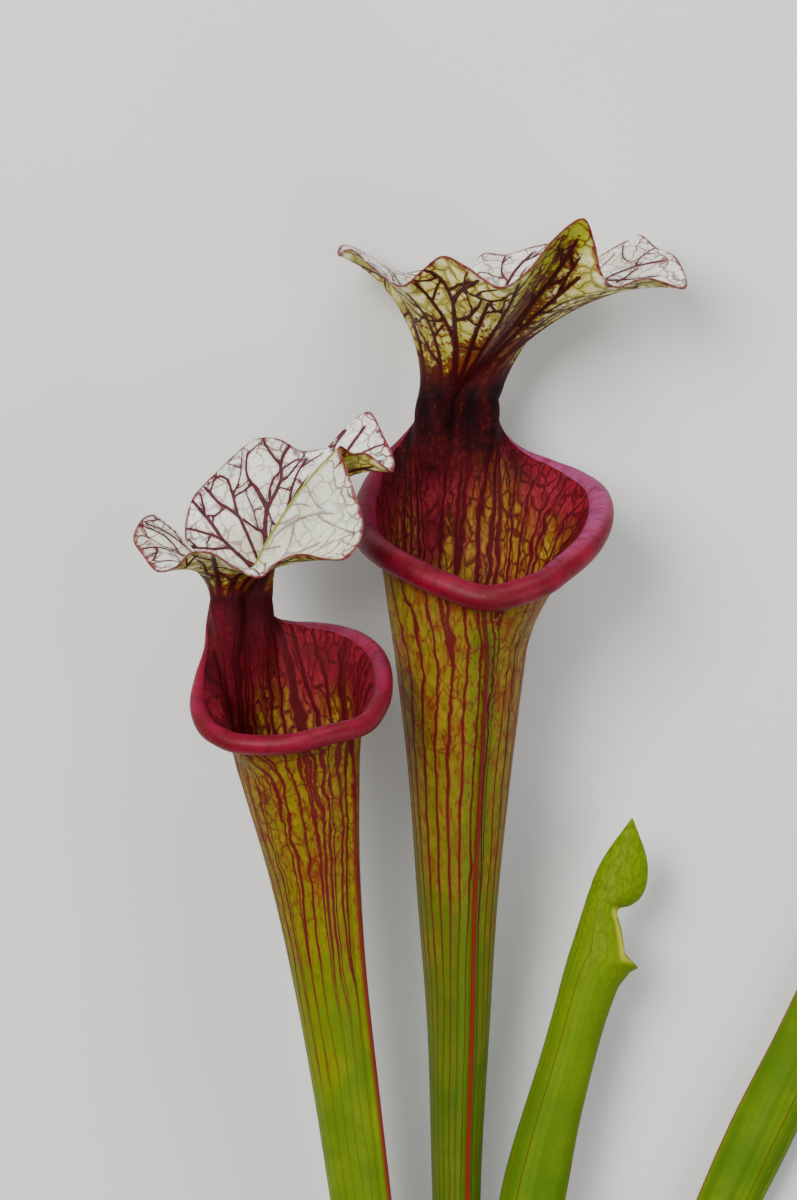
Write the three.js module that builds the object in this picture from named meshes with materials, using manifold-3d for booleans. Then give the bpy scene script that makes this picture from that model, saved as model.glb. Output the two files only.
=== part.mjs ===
// A trumpet pitcher plant lifted with its rootstock and laid on its back. Millimetres, +Z up.
// The pitchers point along +Y and their mouths face up, with the long axis on the surface.
import * as THREE from 'three';
import { mergeVertices } from 'three/addons/utils/BufferGeometryUtils.js';
import Module from 'manifold-3d';

const wasm = await Module();
wasm.setup();

// The crown, where all the leaves meet, lies here in the plant's own frame
const CROWN_X = -16.9;
const CROWN_Y = -120.8;

// Leaf thicknesses
const WALL = 0.9;
const RIM_EDGE = 1.1;
const HOOD_EDGE = 0.8;
const WING_HEIGHT = 1.6;
const WING_TOP = 0.3;
const WING_ROOT = 0.6;

// How the wall widens above the tube: its slope there, how long it keeps its way at both ends
// as a share of the whole, and at most how long at the lip, the neck's edges and the neck
const FLARE_SLOPE = 0.2;
const FLARE_HANDLE = 0.33;
const EDGE_HANDLE = 4;
const LIP_HANDLE = 6;
const NECK_HANDLE = 14;
// The side of the tube that widens early, how much of it at the wall's foot, and how the back
// wall is smoothed
const FILL_AT = -98;
const FILL_FOOT = 0.2;
const SOFT_PASSES = 3;
const SOFT_STEP = 0.7;
const SOFT_FROM = 0.15;
const SOFT_FADE = [0.5, 0.96];
const SOFT_ENDS = [0.16, 0.3];
const LIP_LIFT = 0.5;
const NECK_SPREAD = 0.7;

// Where round the roll the wall's edge meets it, in degrees: along the lip and at its two ends
const SEAT_ANGLE = 228;
const SEAT_END_ANGLE = 270;
const SEAT_END_SHARE = 0.125;

// About how long the lip is, to place the wing's narrow columns, and where the wing is whole
const LIP_LENGTH = 150;
const WING_START = 0.17;

// How long the hood keeps its way from the neck sideways, and to the margin
const HOOD_SPREAD = 0.15;
const HOOD_HANDLE = 0.42;

// How far a curve is followed either way to find its direction, as a share of it
const TANGENT_STEP = 0.01;
const LIP_TANGENT_STEP = 0.005;

// How finely a mature pitcher is divided
const LIP_STEPS = 28;
const NECK_STEPS = 12;
const TUBE_ROWS = 10;
const HOLLOW_ROWS = 6;
const FLARE_ROWS = 6;
const ROLL_POINTS = 9;
const HOOD_STEPS = 60;
const HOOD_ROWS = 7;

// Gap between a leaf base and its socket in the rootstock
const SOCKET_GAP = 0.3;

// The neck's strip seen from above, as front and left offsets from its middle: two round
// halves with a groove between them, and edges that curl to the back
const NECK_STRIP = [
  [-2.5, 9.0], [0.8, 8.1], [2.6, 4.7], [1.3, 1.8], [-0.1, 0.3],
  [0.9, -1.2], [2.5, -4.4], [0.8, -7.9], [-2.4, -9.2],
];

// The tall pitcher. Tube: x, y, z of the middle and the radius, from the base to under the lip
const tall = {
  name: 'tall_pitcher',
  front: 21,
  tube: [
    [1.5, -6, 10, 3.4], [1.3, 25, 12.7, 3.9], [1, 55, 15.5, 4.5], [0.7, 83.9, 18.2, 4.9],
    [0.5, 113.5, 21, 5.6], [0.9, 144.1, 24.2, 6.9], [0.7, 174.6, 27.8, 9], [1.1, 202.9, 31.7, 11.5],
    [1.2, 229, 35.5, 14.6],
  ],
  hollowFrom: 0.25,
  fill: 3.6,
  // Lip roll: x, y, z of its middle, the way the wall heads there, its radius, and the angle
  // round the tube that it grows from, from the neck's left edge by the front to its right edge
  lip: [
    [-6.2, 284.5, 16.3, 0.55, 0, -0.83, 0.6, -150],
    [-8.2, 279.4, 16, 0, 0.1, -1, 0.8, -143],
    [-11.5, 275, 17.5, -0.6, 0.35, -0.55, 1.1, -134],
    [-15.4, 270.4, 21, -0.8, 0.5, -0.3, 1.6, -122],
    [-18.4, 264.7, 26.5, -0.85, 0.55, -0.1, 2.2, -108],
    [-19.9, 259, 33, -0.8, 0.6, 0, 2.7, -95],
    [-19.3, 253.7, 39.5, -0.7, 0.7, 0.2, 2.9, -81],
    [-15.7, 249.8, 46, -0.6, 0.7, 0.4, 2.9, -64],
    [-10, 246.5, 51, -0.4, 0.75, 0.5, 2.9, -45],
    [-2.7, 243.1, 55, -0.2, 0.8, 0.55, 2.9, -24],
    [6.1, 240.2, 57.3, 0.1, 0.8, 0.6, 2.9, 0],
    [16, 242.2, 56, 0.3, 0.8, 0.5, 2.9, 20],
    [23, 246.3, 51.8, 0.5, 0.75, 0.4, 2.9, 36],
    [28.8, 251.5, 46, 0.6, 0.7, 0.25, 2.9, 50],
    [31.9, 257.4, 39.5, 0.75, 0.65, 0.05, 2.9, 64],
    [31.5, 262.4, 33, 0.8, 0.6, -0.1, 2.7, 76],
    [27.2, 266.4, 27.3, 0.8, 0.6, -0.2, 2.2, 88],
    [21.2, 269.4, 23.3, 0.7, 0.5, -0.4, 1.7, 99],
    [15.2, 272.4, 19.8, 0.55, 0.35, -0.6, 1.2, 110],
    [10.6, 277.1, 16.6, 0.1, 0.1, -1, 0.8, 120],
    [8, 284.5, 16.3, -0.5, 0, -0.86, 0.6, 128],
  ],
  neck: { x: 0.7, y: 284.5, z: 21.9, front: 0, size: 1 },
  hoodRise: 7,
  hoodLean: 3.2,
  // Hood margin: x, y, z and how far it turns up there, from the slit behind the neck by the
  // left lobe, the front tip and the right lobe back to the slit
  margin: [
    [-1.2, 309.6, 6, 0.3], [-5.8, 314, 1.2, 0.4], [-11, 313.5, 0.1, 0.4], [-15.6, 315, 1, 0.5],
    [-20.7, 318.1, 6, 0.6], [-25, 319, 14, 0.5], [-25.8, 316.3, 22, 0.35],
    [-22.8, 317, 29, 0.5], [-16.5, 311.2, 36, 0.5], [-11.7, 308.4, 41, 0.4],
    [-7.6, 311.2, 45, 0.8], [-3, 314.4, 49, 1.1], [2.2, 312, 52, 0.9], [9.5, 307.3, 55, 0.5],
    [15.6, 310.7, 57, 0.8], [21.6, 317.9, 57, 1.1], [27.5, 322.1, 56, 1], [30, 317.4, 52, 0.7],
    [31.7, 310.7, 49, 0.3], [35.2, 307.8, 46, 0.1], [42.2, 310, 41, 0.1],
    [50.7, 308.3, 34, -0.2], [49.4, 315, 27, 0.1], [45.2, 317.9, 21, 0.3],
    [41.2, 321.2, 15, 0.5], [37.7, 316.8, 10, 0.4], [32.1, 316.9, 5, 0.5], [25, 320.1, 1.6, 0.7],
    [18.9, 319.7, 0.3, 0.8], [12.2, 317.7, 0.2, 0.7], [6.5, 317.6, 2, 0.7], [3.2, 310.7, 6, 0.3],
  ],
};

// The small pitcher, which faces right and shows its left side
const small = {
  name: 'small_pitcher',
  front: 55,
  tube: [
    [-6.8, -6, 14.5, 3.3], [-9.6, 22, 18.8, 3.9], [-13, 50, 23.6, 4.8], [-16.8, 77.7, 28.4, 5.7],
    [-20.5, 105.8, 32.6, 6.6], [-23.9, 132.1, 36.5, 7.2], [-27.6, 158.4, 41, 8.2],
    [-30.8, 181.5, 46, 10.1], [-33.9, 203.5, 52, 13.2],
  ],
  hollowFrom: 0.25,
  fill: 0,
  lip: [
    [-52.8, 240, 47.6, 0, 0, -1, 0.6, -150],
    [-53.5, 234.6, 48, -0.3, 0.1, -0.9, 0.8, -143],
    [-53.7, 229.1, 51, -0.7, 0.3, -0.6, 1, -135],
    [-55.1, 223, 55.5, -0.85, 0.4, -0.2, 1.4, -124],
    [-55.6, 217, 60.5, -0.85, 0.5, 0, 1.8, -111],
    [-53.4, 212.4, 65.3, -0.7, 0.6, 0.3, 2.1, -97],
    [-48.7, 209.7, 69, -0.4, 0.65, 0.6, 2.2, -82],
    [-42, 208.8, 71.3, -0.15, 0.65, 0.7, 2.2, -65],
    [-34.4, 209.3, 71.8, 0, 0.65, 0.75, 2.2, -46],
    [-27.1, 211.1, 70.4, 0.25, 0.65, 0.65, 2.2, -26],
    [-20.3, 212.9, 66.5, 0.55, 0.65, 0.45, 2.2, 0],
    [-16.8, 216.8, 61, 0.7, 0.65, 0.25, 2.2, 16],
    [-15.8, 222.1, 54.8, 0.75, 0.65, 0.05, 2.2, 31],
    [-17.1, 227.1, 49, 0.7, 0.7, -0.15, 2.2, 46],
    [-20.7, 230.5, 44.6, 0.55, 0.7, -0.4, 2.2, 60],
    [-25.5, 232.3, 41.6, 0.3, 0.7, -0.6, 2, 74],
    [-30.9, 233.2, 39.6, 0.1, 0.65, -0.7, 1.8, 88],
    [-35.5, 233.7, 38.8, -0.1, 0.5, -0.85, 1.5, 100],
    [-39.1, 234.8, 38.8, -0.4, 0.3, -0.85, 1.1, 111],
    [-41.5, 237.2, 39.6, -0.8, 0.1, -0.6, 0.8, 120],
    [-43.2, 240, 40.9, -0.94, 0, -0.31, 0.6, 128],
  ],
  neck: { x: -45.7, y: 240, z: 48, front: 38.5, size: 0.86 },
  hoodRise: 6,
  hoodLean: 0.5,
  margin: [
    [-62.1, 252.4, 43.5, 0.5], [-65.3, 257.8, 46.5, 0.8], [-68.2, 257, 51, 0.6],
    [-69.7, 252.8, 56, 0.2], [-67.4, 249.2, 60.5, -0.1], [-64.2, 245.8, 65, -0.3],
    [-60.1, 246.6, 68, 0], [-56.7, 249.7, 70, 0.4], [-52.2, 249.5, 71.5, 0.3],
    [-47.4, 246.6, 73, 0], [-42, 244.4, 74.5, -0.3], [-38.1, 247.5, 75, 0],
    [-33.3, 249.3, 75.2, 0.2], [-28, 248.3, 75, 0], [-23.6, 248.5, 74, -0.1],
    [-20.7, 252.1, 71.5, 0], [-19.9, 256.5, 69, 0.1], [-21.2, 261.4, 67, 0.2], [-22.9, 266.3, 65, 0.4],
    [-24.9, 272.5, 62, 0.8], [-22.3, 271.2, 58.5, 0.5], [-19.1, 271.2, 56.5, 0.3],
    [-15.8, 268.8, 55, 0], [-13.8, 267.4, 52.5, -0.2], [-13.5, 270.6, 49.5, 0.2],
    [-15.8, 275.6, 47.5, 0.6], [-18.5, 280.6, 46, 0.9], [-21.5, 279.1, 46, 0.9],
    [-24.1, 273.5, 45.5, 0.7], [-28.9, 272.6, 43.5, 0.8], [-33.7, 272.3, 41, 0.9],
    [-38.7, 274.9, 38.5, 0.9], [-43.8, 274.8, 36.5, 0.9], [-48.3, 271.5, 35, 0.9],
    [-51.5, 268.5, 34.5, 0.8], [-54.8, 265.3, 35, 0.7], [-57.5, 262, 36, 0.6],
    [-59, 256.5, 38, 0.4], [-58.8, 249.9, 41, 0.1],
  ],
};

// A young pitcher's outline: distance along it, back and front edge, and half its thickness
const YOUNG_OUTLINE = [
  [0, -3.3, 3.3, 3], [42, -4.3, 4.2, 3.6], [82, -5.8, 5.6, 4.6], [113, -7.3, 7.2, 5.2],
  [136, -6.5, 6.1, 5.4], [152, -6.3, 5.6, 5.6], [163, -6.5, 6.2, 5.8], [167, -6.5, 7.8, 5.8],
  [169, -6.4, 9.6, 5.7], [171, -6.3, 8.7, 5.5], [176, -6.1, 5.6, 4.8], [180, -5.9, 2.8, 4.2],
  [181.5, -5.8, 4.4, 4.3], [183.2, -5.6, 5.8, 4.2], [186, -5.3, 6.5, 3.8], [190, -4.4, 6.1, 3.1],
  [194, -3, 4.5, 2.2], [198, -1.3, 2, 1.2], [200.6, -0.2, 0.2, 0.2],
];
// The hollow behind its mouth, in the same terms
const YOUNG_HOLLOW = [
  [115, -1, 1, 1], [130, -5, 4.8, 3.9], [152, -5, 4.4, 4.3], [165, -5.2, 5.4, 4.7],
  [170.5, -5.1, 11, 4.5], [176, -4.8, 8, 3.6], [179.5, -4, 6, 2.7], [181, -2.4, 3.6, 1.3],
];
const YOUNG_SIDES = 16;
const YOUNG_BASE = 3.7;
// How much the mouth's side is narrowed, as a share of the thickness
const YOUNG_KEEL = 0.35;
// The axes of the two young pitchers, the second one lying on the surface
const youngAxis = [
  [8, -6, 17], [8.6, 19, 17.6], [9.9, 44, 18], [12, 69, 18.2], [15.2, 94, 18],
  [20.2, 118, 17.8], [27.1, 142.5, 17.4], [34, 167, 17], [39.8, 191, 17],
];
const sideAxis = [
  [11, -6, 7.2], [23, 22, 7.6], [35.6, 49.8, 7.6], [48.6, 77.4, 7.4], [61.9, 104.8, 7],
  [74.8, 132, 6.5], [86.8, 159.4, 6], [98.3, 187.2, 5.78], [108.5, 215.9, 6],
];

// Rootstock and roots
const ROOTSTOCK = [
  [15, -8, 9, 2.5], [11, -8, 9.6, 7.5], [2, -8, 9.8, 10.3], [-10, -12, 9.8, 10.4],
  [-22, -20, 9.4, 10], [-32, -29, 9, 9.2], [-38, -35, 8.6, 7], [-41, -38, 8.4, 3],
];
const ROOTSTOCK_SIDES = 16;
const ROOTSTOCK_RINGS = 11;
const RING_DEPTH = 0.45;
const ROOT_COUNT = 14;
const ROOT_SIDES = 5;
const ROOT_STEPS = 10;
const ROOT_RADIUS = 0.85;
const ROOT_BENDS = 6;
const SHORTEST_ROOT = 30;
const LONGEST_ROOT = 56;
// The part of the rootstock that roots grow from, as shares of its length
const FIRST_ROOT = 0.16;
const LAST_ROOT = 0.89;
// Heights of a root's start inside the rootstock and of its first bend
const ROOT_START = 5;
const ROOT_KNEE = 3;
// The rootstock's heading seen from above, how far roots turn from it, and how they wander
const ROOTSTOCK_HEADING = 225;
const LEAST_TURN = 35;
const TURN_SPREAD = 60;
const WANDER = 0.75;
// How deep a leaf's socket is, and the box that flattens the underside
const SOCKET_DEPTH = 24;
const SOCKET_SIDES = 20;
const FLOOR_SIDE = 400;
const FLOOR_DEPTH = 20;

// One seeded draw after another, between 0 and 1
function draws(seed) {
  let state = seed;
  return () => {
    state = (state * 1664525 + 1013904223) % 4294967296;
    return state / 4294967296;
  };
}

// A smooth curve through rows of numbers, t from 0 to 1
function spline(rows, t) {
  const last = rows.length - 1;
  const place = Math.min(Math.max(t, 0), 1) * last;
  const i = Math.min(Math.floor(place), last - 1);
  const u = place - i;
  const p1 = rows[i];
  const p2 = rows[i + 1];
  const p0 = rows[i - 1] ?? p1.map((value, k) => 2 * value - p2[k]);
  const p3 = rows[i + 2] ?? p2.map((value, k) => 2 * value - p1[k]);
  return p1.map((value, k) => {
    const slope = p2[k] - p0[k];
    const bend = 2 * p0[k] - 5 * value + 4 * p2[k] - p3[k];
    const twist = 3 * value - p0[k] - 3 * p2[k] + p3[k];
    return value + 0.5 * u * (slope + u * (bend + u * twist));
  });
}

const vector = (row) => new THREE.Vector3(row[0], row[1], row[2]);
const radians = THREE.MathUtils.degToRad;

// A direction square to the plant's length, turned by an angle in degrees from +Z towards +X
function squareDirection(degrees) {
  return new THREE.Vector3(Math.sin(radians(degrees)), 0, Math.cos(radians(degrees)));
}

// The direction of a curve through rows at t
function tangent(rows, t, step) {
  const ahead = vector(spline(rows, Math.min(t + step, 1)));
  const behind = vector(spline(rows, Math.max(t - step, 0)));
  return ahead.sub(behind).normalize();
}

// The point at t on a cubic with ends a and d and handles b and c
function cubic(a, b, c, d, t) {
  const s = 1 - t;
  return a.clone().multiplyScalar(s * s * s)
    .addScaledVector(b, 3 * s * s * t)
    .addScaledVector(c, 3 * s * t * t)
    .addScaledVector(d, t * t * t);
}

// The normals of a grid of points, rows by columns, closed round the columns or open
function gridNormals(rows, closed) {
  const count = rows[0].length;
  return rows.map((row, r) => row.map((point, c) => {
    const before = closed ? (c + count - 1) % count : Math.max(c - 1, 0);
    const after = closed ? (c + 1) % count : Math.min(c + 1, count - 1);
    const across = row[after].clone().sub(row[before]);
    const below = rows[Math.max(r - 1, 0)][c];
    const above = rows[Math.min(r + 1, rows.length - 1)][c];
    return across.cross(above.clone().sub(below)).normalize();
  }));
}

// A closed body from points and triangles, with its faces turned outwards
function body(points, faces) {
  let volume = 0;
  for (const [a, b, c] of faces) {
    volume += points[a].dot(points[b].clone().cross(points[c]));
  }
  const turned = volume < 0 ? faces.map(([a, b, c]) => [a, c, b]) : faces;
  const geometry = new THREE.BufferGeometry();
  const values = points.flatMap((point) => point.toArray());
  geometry.setAttribute('position', new THREE.Float32BufferAttribute(values, 3));
  geometry.setIndex(turned.flat());
  geometry.computeVertexNormals();
  return geometry;
}

// Collects rings of points and the faces between them
class Skin {
  constructor() {
    this.points = [];
    this.faces = [];
  }

  ring(points) {
    const first = this.points.length;
    this.points.push(...points);
    return points.map((_, i) => first + i);
  }

  // Two rings of equal count joined by faces, each split along the same diagonal
  join(lower, upper, closed = true) {
    const count = closed ? lower.length : lower.length - 1;
    for (let i = 0; i < count; i += 1) {
      const next = (i + 1) % lower.length;
      this.faces.push([lower[i], lower[next], upper[next]], [lower[i], upper[next], upper[i]]);
    }
  }

  // A fan of faces from a middle point to a ring
  cap(ring, turned) {
    const middle = new THREE.Vector3();
    for (const index of ring) {
      middle.addScaledVector(this.points[index], 1 / ring.length);
    }
    const [centre] = this.ring([middle]);
    ring.forEach((index, i) => {
      const next = ring[(i + 1) % ring.length];
      this.faces.push(turned ? [centre, next, index] : [centre, index, next]);
    });
  }

  geometry() {
    return body(this.points, this.faces);
  }
}

// The tube's frame at t: its middle, radius, the way it grows, its front and its right side
function tubeFrame(plan, t) {
  const here = spline(plan.tube, t);
  const up = tangent(plan.tube, t, TANGENT_STEP);
  const front = squareDirection(plan.front);
  front.addScaledVector(up, -front.dot(up)).normalize();
  const right = up.clone().cross(front);
  return { middle: vector(here), radius: here[3], up, front, right };
}

function onTube(frame, angle, inset) {
  const radius = frame.radius - inset;
  return frame.middle.clone()
    .addScaledVector(frame.front, radius * Math.cos(angle))
    .addScaledVector(frame.right, radius * Math.sin(angle));
}

// The lip roll's frame at s, 0 to 1 from the neck's left edge by the front to its right edge.
// The wall's edge lies on the roll's circle, from its inner point to its outer point
function lipFrame(plan, s) {
  const here = spline(plan.lip, s);
  const along = tangent(plan.lip, s, LIP_TANGENT_STEP);
  const end = Math.min(s, 1 - s);
  if (s === 0 || s === 1) {
    along.set(0, s === 0 ? -1 : 1, 0);
  }
  const up = new THREE.Vector3(here[3], here[4], here[5]);
  up.addScaledVector(along, -up.dot(along)).normalize();
  const out = along.clone().cross(up);
  const radius = here[6];
  const half = Math.asin(RIM_EDGE / 2 / Math.max(radius, RIM_EDGE / 2 + 0.02));
  const endShare = Math.max(0, 1 - end / SEAT_END_SHARE);
  const middleAngle = radians(SEAT_ANGLE + (SEAT_END_ANGLE - SEAT_ANGLE) * endShare);
  const centre = vector(here);
  const onRoll = (angle) => centre.clone()
    .addScaledVector(out, radius * Math.cos(angle))
    .addScaledVector(up, radius * Math.sin(angle));
  return {
    onRoll,
    innerAngle: middleAngle - half,
    outerAngle: middleAngle + half,
    inner: onRoll(middleAngle - half),
    outer: onRoll(middleAngle + half),
    heading: new THREE.Vector3(here[3], here[4], here[5]).normalize(),
    angle: radians(here[7]),
  };
}

// The neck's strip from its left edge, v = -1, to its right edge, v = 1
function neckPoint(plan, v) {
  const front = squareDirection(plan.neck.front);
  const left = new THREE.Vector3(0, 1, 0).cross(front).negate();
  const middle = new THREE.Vector3(plan.neck.x, plan.neck.y, plan.neck.z);
  const rows = NECK_STRIP.map(([forward, aside]) => middle.clone()
    .addScaledVector(front, forward * plan.neck.size)
    .addScaledVector(left, aside * plan.neck.size)
    .toArray());
  rows.unshift(lipFrame(plan, 0).inner.toArray());
  rows.push(lipFrame(plan, 1).inner.toArray());
  const here = spline(rows, (v + 1) / 2);
  here[1] = plan.neck.y;
  return vector(here);
}

// The strip's back face, one leaf thickness behind its front face and level with it
function neckBackPoint(plan, v, thickness) {
  if (Math.abs(v) === 1) {
    return lipFrame(plan, v < 0 ? 0 : 1).outer;
  }
  const ahead = neckPoint(plan, v + TANGENT_STEP);
  const along = ahead.sub(neckPoint(plan, v - TANGENT_STEP)).normalize();
  const back = new THREE.Vector3(0, 1, 0).cross(along);
  return neckPoint(plan, v).addScaledVector(back, thickness);
}

// The columns round a mature pitcher: the lip's part with the wing's four, then the neck's part
function pitcherColumns() {
  const columns = [];
  for (let i = 0; i <= LIP_STEPS; i += 1) {
    const s = i / LIP_STEPS;
    if (i === LIP_STEPS / 2) {
      for (const offset of [-WING_ROOT, -WING_TOP, WING_TOP, WING_ROOT]) {
        columns.push({ s: s + offset / LIP_LENGTH, offset });
      }
    } else {
      columns.push({ s });
    }
  }
  for (let i = 1; i < NECK_STEPS; i += 1) {
    columns.push({ v: 1 - 2 * i / NECK_STEPS });
  }
  return columns;
}

// One column's angle on the tube and its end on the rim
function columnEnds(plan, column) {
  if (column.s !== undefined) {
    const rim = lipFrame(plan, column.s);
    const heading = rim.heading.clone().add(new THREE.Vector3(0, LIP_LIFT, 0)).normalize();
    const handle = EDGE_HANDLE + LIP_HANDLE * Math.min(1, 4 * Math.min(column.s, 1 - column.s));
    return { angle: rim.angle, inner: rim.inner, outer: rim.outer, heading, handle };
  }
  const rightEnd = radians(plan.lip.at(-1)[7]);
  const leftEnd = radians(plan.lip[0][7]) + 2 * Math.PI;
  const edge = Math.abs(column.v) ** 3;
  const heading = new THREE.Vector3(0, 1, 0)
    .addScaledVector(lipFrame(plan, column.v < 0 ? 0 : 1).heading, NECK_SPREAD * edge)
    .normalize();
  return {
    angle: rightEnd + (leftEnd - rightEnd) * (1 - column.v) / 2,
    inner: neckPoint(plan, column.v),
    outer: neckBackPoint(plan, column.v, WALL),
    heading,
    handle: EDGE_HANDLE + NECK_HANDLE * (1 - edge),
  };
}

// The wall's rows with the neck's part let smoothly into both sides of the mouth
function softened(flare, columns) {
  const { smoothstep } = THREE.MathUtils;
  const nearNeck = columns.map(({ s }) => (
    s === undefined ? 1 : 1 - smoothstep(Math.min(s, 1 - s), ...SOFT_ENDS)
  ));
  return flare.map((row, r) => {
    const t = r / FLARE_ROWS;
    const strength = SOFT_STEP * smoothstep(t, 0, SOFT_FROM) * (1 - smoothstep(t, ...SOFT_FADE));
    let soft = row;
    for (let pass = 0; pass < SOFT_PASSES; pass += 1) {
      soft = soft.map((point, i) => {
        const middle = soft.at(i - 1).clone().add(soft[(i + 1) % soft.length]).multiplyScalar(0.5);
        return point.clone().lerp(middle, strength * nearNeck[i]);
      });
    }
    return soft;
  });
}

// The mature tube: a solid base, a hollow above it, and a wall that widens to the rim
function pitcherTube(plan) {
  const columns = pitcherColumns();
  const ends = columns.map((column) => columnEnds(plan, column));
  const top = tubeFrame(plan, 1);
  const angleAt = (i, radius) => (columns[i].offset ? columns[i].offset / radius : ends[i].angle);
  const wing = columns.map(({ offset }) => (Math.abs(offset ?? 1) <= WING_TOP ? WING_HEIGHT : 0));

  let flare = [];
  for (let r = 0; r <= FLARE_ROWS; r += 1) {
    flare.push(columns.map((_, i) => {
      const start = onTube(top, angleAt(i, top.radius), WALL);
      const reach = start.distanceTo(ends[i].inner);
      const away = start.clone().sub(top.middle).normalize();
      const rise = top.up.clone().addScaledVector(away, FLARE_SLOPE).normalize();
      const low = start.clone().addScaledVector(rise, FLARE_HANDLE * reach);
      const handle = Math.min(FLARE_HANDLE * reach, ends[i].handle);
      const high = ends[i].inner.clone().addScaledVector(ends[i].heading, -handle);
      const fill = plan.fill * Math.max(0, Math.cos(ends[i].angle - radians(FILL_AT))) ** 2;
      low.addScaledVector(away, fill * FILL_FOOT);
      high.addScaledVector(away, fill);
      return cubic(start, low, high, ends[i].inner, r / FLARE_ROWS);
    }));
  }
  flare = softened(flare, columns);
  const normals = gridNormals(flare, true);

  const skin = new Skin();
  const outer = [];
  for (let r = 0; r < TUBE_ROWS; r += 1) {
    const t = r / TUBE_ROWS;
    const frame = tubeFrame(plan, t);
    const grow = Math.min(1, t / WING_START);
    const row = columns.map((_, i) => onTube(frame, angleAt(i, frame.radius), -wing[i] * grow));
    outer.push(skin.ring(row));
  }
  for (let r = 0; r < FLARE_ROWS; r += 1) {
    const fade = 1 - r / FLARE_ROWS;
    const row = r === 0
      ? columns.map((_, i) => onTube(top, angleAt(i, top.radius), -wing[i]))
      : flare[r].map((point, i) => point.clone().addScaledVector(normals[r][i], WALL + wing[i] * fade));
    outer.push(skin.ring(row));
  }
  outer.push(skin.ring(ends.map((end) => end.outer)));

  const inner = [];
  for (let r = 0; r < HOLLOW_ROWS; r += 1) {
    const t = plan.hollowFrom + (1 - plan.hollowFrom) * r / HOLLOW_ROWS;
    const frame = tubeFrame(plan, t);
    inner.push(skin.ring(columns.map((_, i) => onTube(frame, angleAt(i, frame.radius), WALL))));
  }
  for (const row of flare) {
    inner.push(skin.ring(row));
  }

  skin.cap(outer[0], true);
  for (let r = 0; r + 1 < outer.length; r += 1) {
    skin.join(outer[r], outer[r + 1]);
  }
  skin.join(outer.at(-1), inner.at(-1));
  for (let r = inner.length - 1; r > 0; r -= 1) {
    skin.join(inner[r], inner[r - 1]);
  }
  skin.cap(inner[0], false);
  return skin.geometry();
}

// The rolled lip along the rim, with its seat on the wall's edge
function pitcherLip(plan) {
  const skin = new Skin();
  const rings = pitcherColumns().filter(({ s }) => s !== undefined).map(({ s }) => {
    const rim = lipFrame(plan, s);
    const round = rim.innerAngle + 2 * Math.PI - rim.outerAngle;
    const points = [rim.inner, rim.outer];
    for (let i = 1; i < ROLL_POINTS; i += 1) {
      points.push(rim.onRoll(rim.outerAngle + round * i / ROLL_POINTS));
    }
    return skin.ring(points);
  });
  for (let r = 0; r + 1 < rings.length; r += 1) {
    const here = rings[r];
    const next = rings[r + 1];
    const count = here.length;
    skin.faces.push([here[0], here[1], next[0]], [here[1], next[1], next[0]]);
    for (let i = 1; i < count; i += 1) {
      const after = (i + 1) % count;
      skin.faces.push([here[i], here[after], next[after]], [here[i], next[after], next[i]]);
    }
  }
  skin.cap(rings[0], true);
  skin.cap(rings.at(-1), false);
  return skin.geometry();
}

// The hood: a fan from the neck's strip to the waved margin
function hoodPoint(plan, v, t) {
  const base = neckPoint(plan, v);
  const here = spline(plan.margin, (v + 1) / 2);
  const edge = vector(here);
  const away = new THREE.Vector3(here[0] - plan.neck.x, 0, here[2] - plan.neck.z).normalize();
  const low = base.clone().addScaledVector(away, HOOD_SPREAD * plan.hoodRise);
  low.x += plan.hoodLean;
  low.y += plan.hoodRise;
  const arrival = away.clone();
  arrival.y = here[3];
  const handle = HOOD_HANDLE * edge.distanceTo(base);
  const high = edge.clone().addScaledVector(arrival.normalize(), -handle);
  return cubic(base, low, high, edge, t);
}

function pitcherHood(plan) {
  const under = [];
  for (let r = 0; r <= HOOD_ROWS; r += 1) {
    const row = [];
    for (let c = 0; c <= HOOD_STEPS; c += 1) {
      row.push(hoodPoint(plan, -1 + 2 * c / HOOD_STEPS, r / HOOD_ROWS));
    }
    under.push(row);
  }
  const normals = gridNormals(under, false);
  const skin = new Skin();
  const underRings = under.map((row) => skin.ring(row));
  const topRings = under.map((row, r) => skin.ring(row.map((point, c) => (r === 0
    ? neckBackPoint(plan, -1 + 2 * c / HOOD_STEPS, WALL)
    : point.clone().addScaledVector(normals[r][c], -HOOD_EDGE)))));
  for (let r = 0; r < HOOD_ROWS; r += 1) {
    skin.join(underRings[r], underRings[r + 1], false);
    for (let c = 0; c < HOOD_STEPS; c += 1) {
      const [a, b] = [topRings[r][c], topRings[r][c + 1]];
      const [d, e] = [topRings[r + 1][c], topRings[r + 1][c + 1]];
      skin.faces.push([a, e, b], [a, d, e]);
    }
  }
  const left = underRings.map((ring) => ring[0]);
  const leftTop = topRings.map((ring) => ring[0]);
  const right = underRings.map((ring) => ring.at(-1));
  const rightTop = topRings.map((ring) => ring.at(-1));
  skin.join(left, leftTop, false);
  skin.join(rightTop, right, false);
  skin.join(topRings[0], underRings[0], false);
  skin.join(underRings.at(-1), topRings.at(-1), false);
  return skin.geometry();
}

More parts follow.
